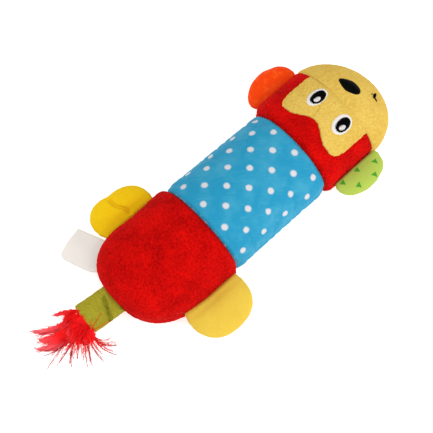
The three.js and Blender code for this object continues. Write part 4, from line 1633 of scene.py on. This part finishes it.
    def make_fallen(self, context, tail, feather):
        """Makes the barbs that lie on the strap: short ones over its end, and a few that came loose."""
        axes = flap_frame("tail_lift", tail.strap_droop)
        lines = self.new_lines(tail)
        draw = random.Random(5)
        edge = tail.strap_length + self.past_end
        inside = tail.strap_length - 0.2 * MM
        short = []
        for _ in range(self.short_barbs):
            y = draw.uniform(-9, 9) * MM
            turned = y + draw.uniform(-1, 1) * MM
            back = edge - draw.uniform(1.0, 3.0) * MM
            short.append(((edge, y), ((edge + back) / 2, y), (back, turned)))
        for first, middle, last in (*self.fallen, *short):
            points = []
            for step in range(9):
                share = step / 8
                x, y = (
                    lerp(lerp(a, b, share), lerp(b, c, share), share)
                    for a, b, c in zip(first, middle, last)
                )
                above = axes @ Vector((min(x, inside), y, 0)) + UP * RAY_START
                under = axes.inverted() @ forms["strap"].ray_cast(above, -UP)[0]
                points.append(Vector((max(x, under.x), y, under.z + 0.15 * MM)))
            self.add_line(lines, axes, points, 1.4)
        bm = bmesh.new()
        self.pour(context, bm, lines)
        dress(put_in_scene("strap_loose_barbs", bm), feather, "red_feather", (), "tail")

    def quill(self, across, fan, reach, bow, lift, sink, draw):
        """The line of one plume: out from the tied root, bowed to the side, and down under its weight."""
        turn = math.radians(fan)
        heading = Vector((math.cos(turn), math.sin(turn), 0))
        root = Vector((-1.0 * MM, across, lift + draw.uniform(-0.7, 0.7) * MM))
        droop = sink * draw.uniform(0.85, 1.15) * reach
        sideways = UP.cross(heading) * (reach * (bow + draw.uniform(-0.05, 0.05)))

        def at(share):
            aside = sideways * (share * (1 - share))
            return root + heading * (reach * share) + aside - UP * (droop * share**1.4)
        return at

    def add_vane(self, bm, axes, quill, width, thickness, draw):
        """Adds a plume's vane: a thin leaf along its quill, ridged by its barbs and ragged at its edge."""
        seed = draw.uniform(0, 50)
        side = (quill(1.0) - quill(0.0)).cross(UP).normalized()
        side = (side + UP * draw.uniform(-0.25, 0.25)).normalized()

        def place(along, around):
            turn = 2 * math.pi * around
            ragged = 1 + 0.5 * noise.noise(Vector((26 * along, round(math.cos(turn)), seed)))
            half_width = width / 2 * lerp(0.35, 1.0, ease(2.5 * along)) * dome(along, 2.2) * ragged
            ridge = 1 + 0.3 * math.sin(40 * along + 5 * abs(math.cos(turn)))
            point = quill(0.98 * along) + side * (half_width * math.cos(turn))
            point += UP * (thickness * dome(along, 3) * ridge * math.sin(turn))
            point = axes @ point
            point.z = max(point.z, self.floor_gap)
            return point
        leaf = cloth_tube(44, 14, place)
        close_ends(leaf)
        join_to(bm, leaf)

    def add_barbs(self, curve, axes, quill, width, count, spreads, lengths, draw):
        """Adds barbs along a quill, which lie over its vane and stand out at its edges and its tip."""
        for number in range(count):
            share = lerp(0.12, 0.99, (number + draw.random()) / count)
            ahead = (quill(share) - quill(share - 0.05)).normalized()
            side = ahead.cross(UP).normalized() * draw.choice((-1, 1))
            spread = math.radians(draw.uniform(*spreads))
            lean = UP * draw.uniform(-0.3, 0.4)
            leave = ahead * math.cos(spread) + (side + lean).normalized() * math.sin(spread)
            root = quill(share) + side * (draw.uniform(0, 0.5) * width * dome(share, 2.2))
            root += UP * (draw.uniform(-0.5, 0.9) * MM)
            length = draw.uniform(*lengths) * lerp(1.0, 0.6, share)
            self.add_strand(curve, axes, root, leave, length, draw, 0.9)

    def add_strand(self, curve, axes, root, heading, length, draw, thick):
        """Adds one loose barb that curls a little and hangs."""
        heading = heading.normalized()
        curl = Vector((draw.uniform(-1, 1), draw.uniform(-1, 1), draw.uniform(-0.8, 0.4)))
        curl *= 0.25 * length
        points = []
        for step in range(5):
            share = step / 4
            points.append(root + heading * (length * share) + curl * share * share)
        self.add_line(curve, axes, points, thick)

    def add_line(self, curve, axes, points, thick):
        """Adds one tapered line through points given at the tuft's root, kept above the floor."""
        line = curve.splines.new("POLY")
        line.points.add(len(points) - 1)
        for number, (target, point) in enumerate(zip(line.points, points)):
            place = axes @ point
            place.z = max(place.z, self.floor_gap)
            target.co = (*place, 1.0)
            target.radius = thick * lerp(1.0, 0.5, number / (len(points) - 1))


class TOY_OT_label(bpy.types.Operator):
    """Makes the blank folded label by the left foot"""

    bl_idname = "toy.label"
    bl_label = "Label"

    def execute(self, context):
        tail = context.scene.toy_tail
        bm = cloth_sheet(96, 24, lambda along, across: self.tape_point(along, across - 0.5, tail))
        bmesh.ops.recalc_face_normals(bm, faces=bm.faces)
        bmesh.ops.transform(bm, matrix=flap_frame("label_fold", tail.label_droop), verts=bm.verts)
        bmesh.ops.solidify(bm, geom=bm.verts[:] + bm.edges[:] + bm.faces[:], thickness=tail.label_tape)
        label = put_in_scene("label_tape", bm)
        dress(label, satin_tape(context.scene.toy_colours), "white_satin", ("care_label",), None)
        self.fold_at_seam(label, tail)
        return {"FINISHED"}

    def fold_at_seam(self, label, tail):
        """Lets the label fold where it comes out of the rear, and keeps the rest sewn in."""
        seam = Vector(hinges["label_fold"]["pos_m"])
        out = flap_frame("label_fold", 0.0) @ Vector((tail.label_fold, 0, 0))
        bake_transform(label, "stuffed_body", "label", start=seam, end=out)
        for vert, weight in zip(label.data.vertices, label.data.attributes["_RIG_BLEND"].data):
            place, normal, _, _ = forms["rear_skin"].find_nearest(vert.co)
            weight.value = ease((vert.co - place).dot(normal) / tail.label_fold)

    def tape_point(self, along, across, tail):
        """A point of the tape: out of the slanting seam, round the fold and back, gently cupped."""
        cup_height = 0.9 * MM
        sag_depth = 0.6 * MM
        curl_drop = 0.8 * MM
        bow_width = 1.0 * MM
        root_narrowing = 4.0 * MM
        root_share = 0.28
        lean = tail.label_lean
        flat = tail.label_width * across + tail.label_shift
        curl = max(0.0, 1 - (tail.label_width * (0.5 - across)) / tail.label_curl)
        start = -(tail.label_root + flat * math.sin(lean)) / math.cos(lean)
        reach = tail.label_length + tail.label_slant * (across + 0.5) - tail.label_corner * curl * curl
        length = reach - start
        fold = math.pi * tail.label_gap
        run = along * (2 * length + fold)
        if run < length:
            out = start + run
            z = tail.label_gap
        elif run > length + fold:
            out = start + 2 * length + fold - run
            z = -tail.label_gap
        else:
            turn = (run - length) / tail.label_gap
            out = reach + tail.label_gap * math.sin(turn)
            z = tail.label_gap * math.cos(turn)
        share = (out - start) / length
        cup = cup_height * share * share * math.cos(1.7 * math.pi * across)
        z += cup - sag_depth * share * share
        z -= curl_drop * curl * curl * share
        bowed = bow_width * math.sin(math.pi * share) - root_narrowing * ease(1 - share / root_share)
        aside = flat + bowed * max(across, 0.0)
        x = out * math.cos(lean) + aside * math.sin(lean)
        y = aside * math.cos(lean) - out * math.sin(lean)
        return Vector((x, y, z))


# Filling and squeaker


class TOY_OT_filling(bpy.types.Operator):
    """Makes the loose fibre filling of the rear, the band and the head"""

    bl_idname = "toy.filling"
    bl_label = "Filling"

    def execute(self, context):
        sizes = context.scene.toy_body
        fibre = bpy.data.materials["polyester_fibre_fill"]
        inset = 4.0 * MM
        rows = 34
        columns = 64
        rear_start = REAR_END + sizes.rear_rounding
        rear = cloth_tube(
            rows, columns,
            domed_place(
                REAR_SEAM - inset, rear_start, REAR_END + inset, sizes.rear_bluntness, 0.35, sizes,
                sizes.rear_lean, inset,
            ),
        )
        self.finish("rear_filling", rear, 2.2, ("rear_stuffing",), fibre)
        head = cloth_tube(
            rows, columns,
            domed_place(
                FRONT_SEAM + inset, MUZZLE_SEAM, MUZZLE_END - inset - sizes.muzzle_trim,
                sizes.muzzle_bluntness, 0.5, sizes, sizes.muzzle_lean, inset,
            ),
        )
        self.finish("head_filling", head, 5.8, ("head_stuffing",), fibre)
        for name, start, nodes in (
            ("band_upper_filling", 0.25, ("band_upper_stuffing",)),
            ("band_lower_filling", -0.25, ("band_lower_stuffing",)),
        ):
            half = self.half_wrap(start, sizes, inset)
            wrap = put_in_scene(name, half)
            dress(wrap, fibre, "fibre_fill", nodes, None)
            dent_with_squeeze(wrap, sizes)
        return {"FINISHED"}

    def finish(self, name, bm, seed, nodes, fibre):
        """Closes a filling, makes it lumpy and lets it ride on the body."""
        bmesh.ops.holes_fill(bm, edges=bm.edges, sides=0)
        lumpy(bm, depth=0.9 * MM, lump=7 * MM, seed=seed)
        bmesh.ops.recalc_face_normals(bm, faces=bm.faces)
        dress(put_in_scene(name, bm), fibre, "fibre_fill", nodes, "stuffed_body")

    def half_wrap(self, start, sizes, inset):
        """Fibre wrapped over or under the squeaker, half way around the band."""
        def place(along, around):
            x = lerp(REAR_SEAM + inset, FRONT_SEAM - inset, along)
            return body_point(x, 1.0, start + 0.5 * lerp(0.02, 0.98, around), sizes, inset)
        bm = cloth_sheet(30, 36, place)
        lumpy(bm, depth=0.8 * MM, lump=7 * MM, seed=start)
        bmesh.ops.recalc_face_normals(bm, faces=bm.faces)
        middle = Vector((0, 0, SIDE_HEIGHT))
        outwards = sum(((face.calc_center_median() - middle).dot(face.normal) for face in bm.faces))
        if outwards < 0:
            bmesh.ops.reverse_faces(bm, faces=bm.faces)
        bmesh.ops.solidify(bm, geom=bm.verts[:] + bm.edges[:] + bm.faces[:], thickness=6 * MM)
        return bm


class TOY_OT_squeaker(bpy.types.Operator):
    """Makes the squeaker's bulb and finishes its plug and reed"""

    bl_idname = "toy.squeaker"
    bl_label = "Squeaker"

    def execute(self, context):
        sizes = context.scene.toy_body
        colours = context.scene.toy_colours
        low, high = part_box("squeaker_bulb")
        plastic = moulded_plastic("blown_polythene", colours.plastic, 0.38)
        radius = (high.x - low.x) / 2
        middle = (low + high) / 2
        half = (high.z - low.z) / 2
        bm = bmesh.new()
        steps = 24
        flatness = 0.75
        seam_depth = 0.02
        seam_reach = 0.08
        points = []
        for step in range(steps + 1):
            turn = math.pi * (step / steps - 0.5)
            waist = 1 - seam_depth * bell(math.sin(turn), seam_reach)
            points.append(Vector((
                middle.x + radius * waist * max(math.cos(turn), 0.0) ** flatness, middle.y,
                middle.z + half * math.sin(turn),
            )))
        verts = [bm.verts.new(point) for point in points]
        edges = [bm.edges.new(pair) for pair in zip(verts, verts[1:])]
        bmesh.ops.spin(
            bm, geom=verts + edges, cent=middle, axis=(0, 0, 1), angle=2 * math.pi, steps=64, use_merge=True
        )
        bmesh.ops.remove_doubles(bm, verts=bm.verts, dist=WELD)
        bmesh.ops.recalc_face_normals(bm, faces=bm.faces)
        bulb = put_in_scene("squeaker_bulb_shell", bm)
        dress(bulb, plastic, "squeaker_plastic", ("squeaker_bulb",), None)
        dent_with_squeeze(bulb, sizes)
        reed = moulded_plastic("moulded_polystyrene", colours.plastic, 0.3)
        for node in ("squeaker_plug", "squeaker_reed"):
            frame["nodes"][node].data.materials.clear()
            frame["nodes"][node].data.materials.append(reed)
        return {"FINISHED"}


# Stage


class TOY_OT_stage(bpy.types.Operator):
    """Sets the plain floor, the soft light and the camera"""

    bl_idname = "toy.stage"
    bl_label = "Stage"

    key_place = (0.25, -0.95, 0.95)
    fill_place = (-0.7, 0.6, 1.1)

    def execute(self, context):
        scene = context.scene
        stage = scene.toy_stage
        bm = bmesh.new()
        bmesh.ops.create_grid(bm, x_segments=8, y_segments=8, size=stage.floor_size)
        floor = put_in_scene("studio_floor", bm)
        # Lit from within like a light table, so that hardly a shadow shows
        paper, shader = new_material(
            "matt_paper", Roughness=0.9, Specular_IOR_Level=0.1, Emission_Strength=stage.floor_glow
        )
        shader.inputs["Base Color"].default_value = opaque(stage.floor)
        floor.data.materials.append(paper)
        world = bpy.data.worlds.new("studio")
        world.use_nodes = True
        world.node_tree.nodes["Background"].inputs["Color"].default_value = (1, 1, 1, 1)
        world.node_tree.nodes["Background"].inputs["Strength"].default_value = stage.sky
        scene.world = world
        self.add_light("key_softbox", stage.key, stage.softbox, self.key_place, stage.camera_aim)
        self.add_light("fill_softbox", stage.fill, stage.softbox, self.fill_place, stage.camera_aim)
        lens = bpy.data.cameras.new("photo_camera")
        lens.lens = stage.lens
        lens.sensor_width = 36
        camera = bpy.data.objects.new("photo_camera", lens)
        scene.collection.objects.link(camera)
        self.aim(camera, stage.camera_place, stage.camera_aim)
        scene.camera = camera
        scene.view_settings.view_transform = "Standard"
        return {"FINISHED"}

    def add_light(self, name, power, width, place, target):
        """Adds one square softbox that faces a target."""
        light = bpy.data.lights.new(name, "AREA")
        light.energy = power
        light.size = width
        obj = bpy.data.objects.new(name, light)
        bpy.context.scene.collection.objects.link(obj)
        self.aim(obj, place, target)

    def aim(self, obj, place, target):
        """Puts a camera or light in its place, looking at a target with no roll."""
        obj.location = place
        towards = Vector(target) - Vector(place)
        obj.rotation_euler = towards.to_track_quat("-Z", "Y").to_euler()


class TOY_PT_looks(bpy.types.Panel):
    """Lists the toy's pieces"""

    bl_idname = "TOY_PT_looks"
    bl_label = "Plush Toy"
    bl_space_type = "VIEW_3D"
    bl_region_type = "UI"
    bl_category = "Plush Toy"

    def draw(self, context):
        for operator in OPERATORS:
            self.layout.operator(operator.bl_idname)


GROUPS = {
    "toy_body": ToyBodySizes,
    "toy_face": ToyFaceSizes,
    "toy_flaps": ToyFlapSizes,
    "toy_tail": ToyTailSizes,
    "toy_colours": ToyColours,
    "toy_stage": ToyStageSettings,
}
OPERATORS = (
    TOY_OT_stage,
    TOY_OT_body_skins,
    TOY_OT_face,
    TOY_OT_ears,
    TOY_OT_feet,
    TOY_OT_tail,
    TOY_OT_tuft,
    TOY_OT_label,
    TOY_OT_filling,
    TOY_OT_squeaker,
)


def register():
    """Registers the classes and hangs the settings on the scene."""
    for group in (*GROUPS.values(), *OPERATORS, TOY_PT_looks):
        bpy.utils.register_class(group)
    for name, group in GROUPS.items():
        setattr(bpy.types.Scene, name, PointerProperty(type=group))


def unregister():
    """Takes away what register added."""
    for name in GROUPS:
        delattr(bpy.types.Scene, name)
    for group in (TOY_PT_looks, *reversed(OPERATORS), *reversed(list(GROUPS.values()))):
        bpy.utils.unregister_class(group)


def main():
    """Builds the toy in order."""
    register()
    bpy.ops.toy.stage()
    bpy.ops.toy.body_skins()
    bpy.ops.toy.face()
    bpy.ops.toy.ears()
    bpy.ops.toy.feet()
    bpy.ops.toy.tail()
    bpy.ops.toy.tuft()
    bpy.ops.toy.label()
    bpy.ops.toy.filling()
    bpy.ops.toy.squeaker()


if __name__ == "__main__":
    main()
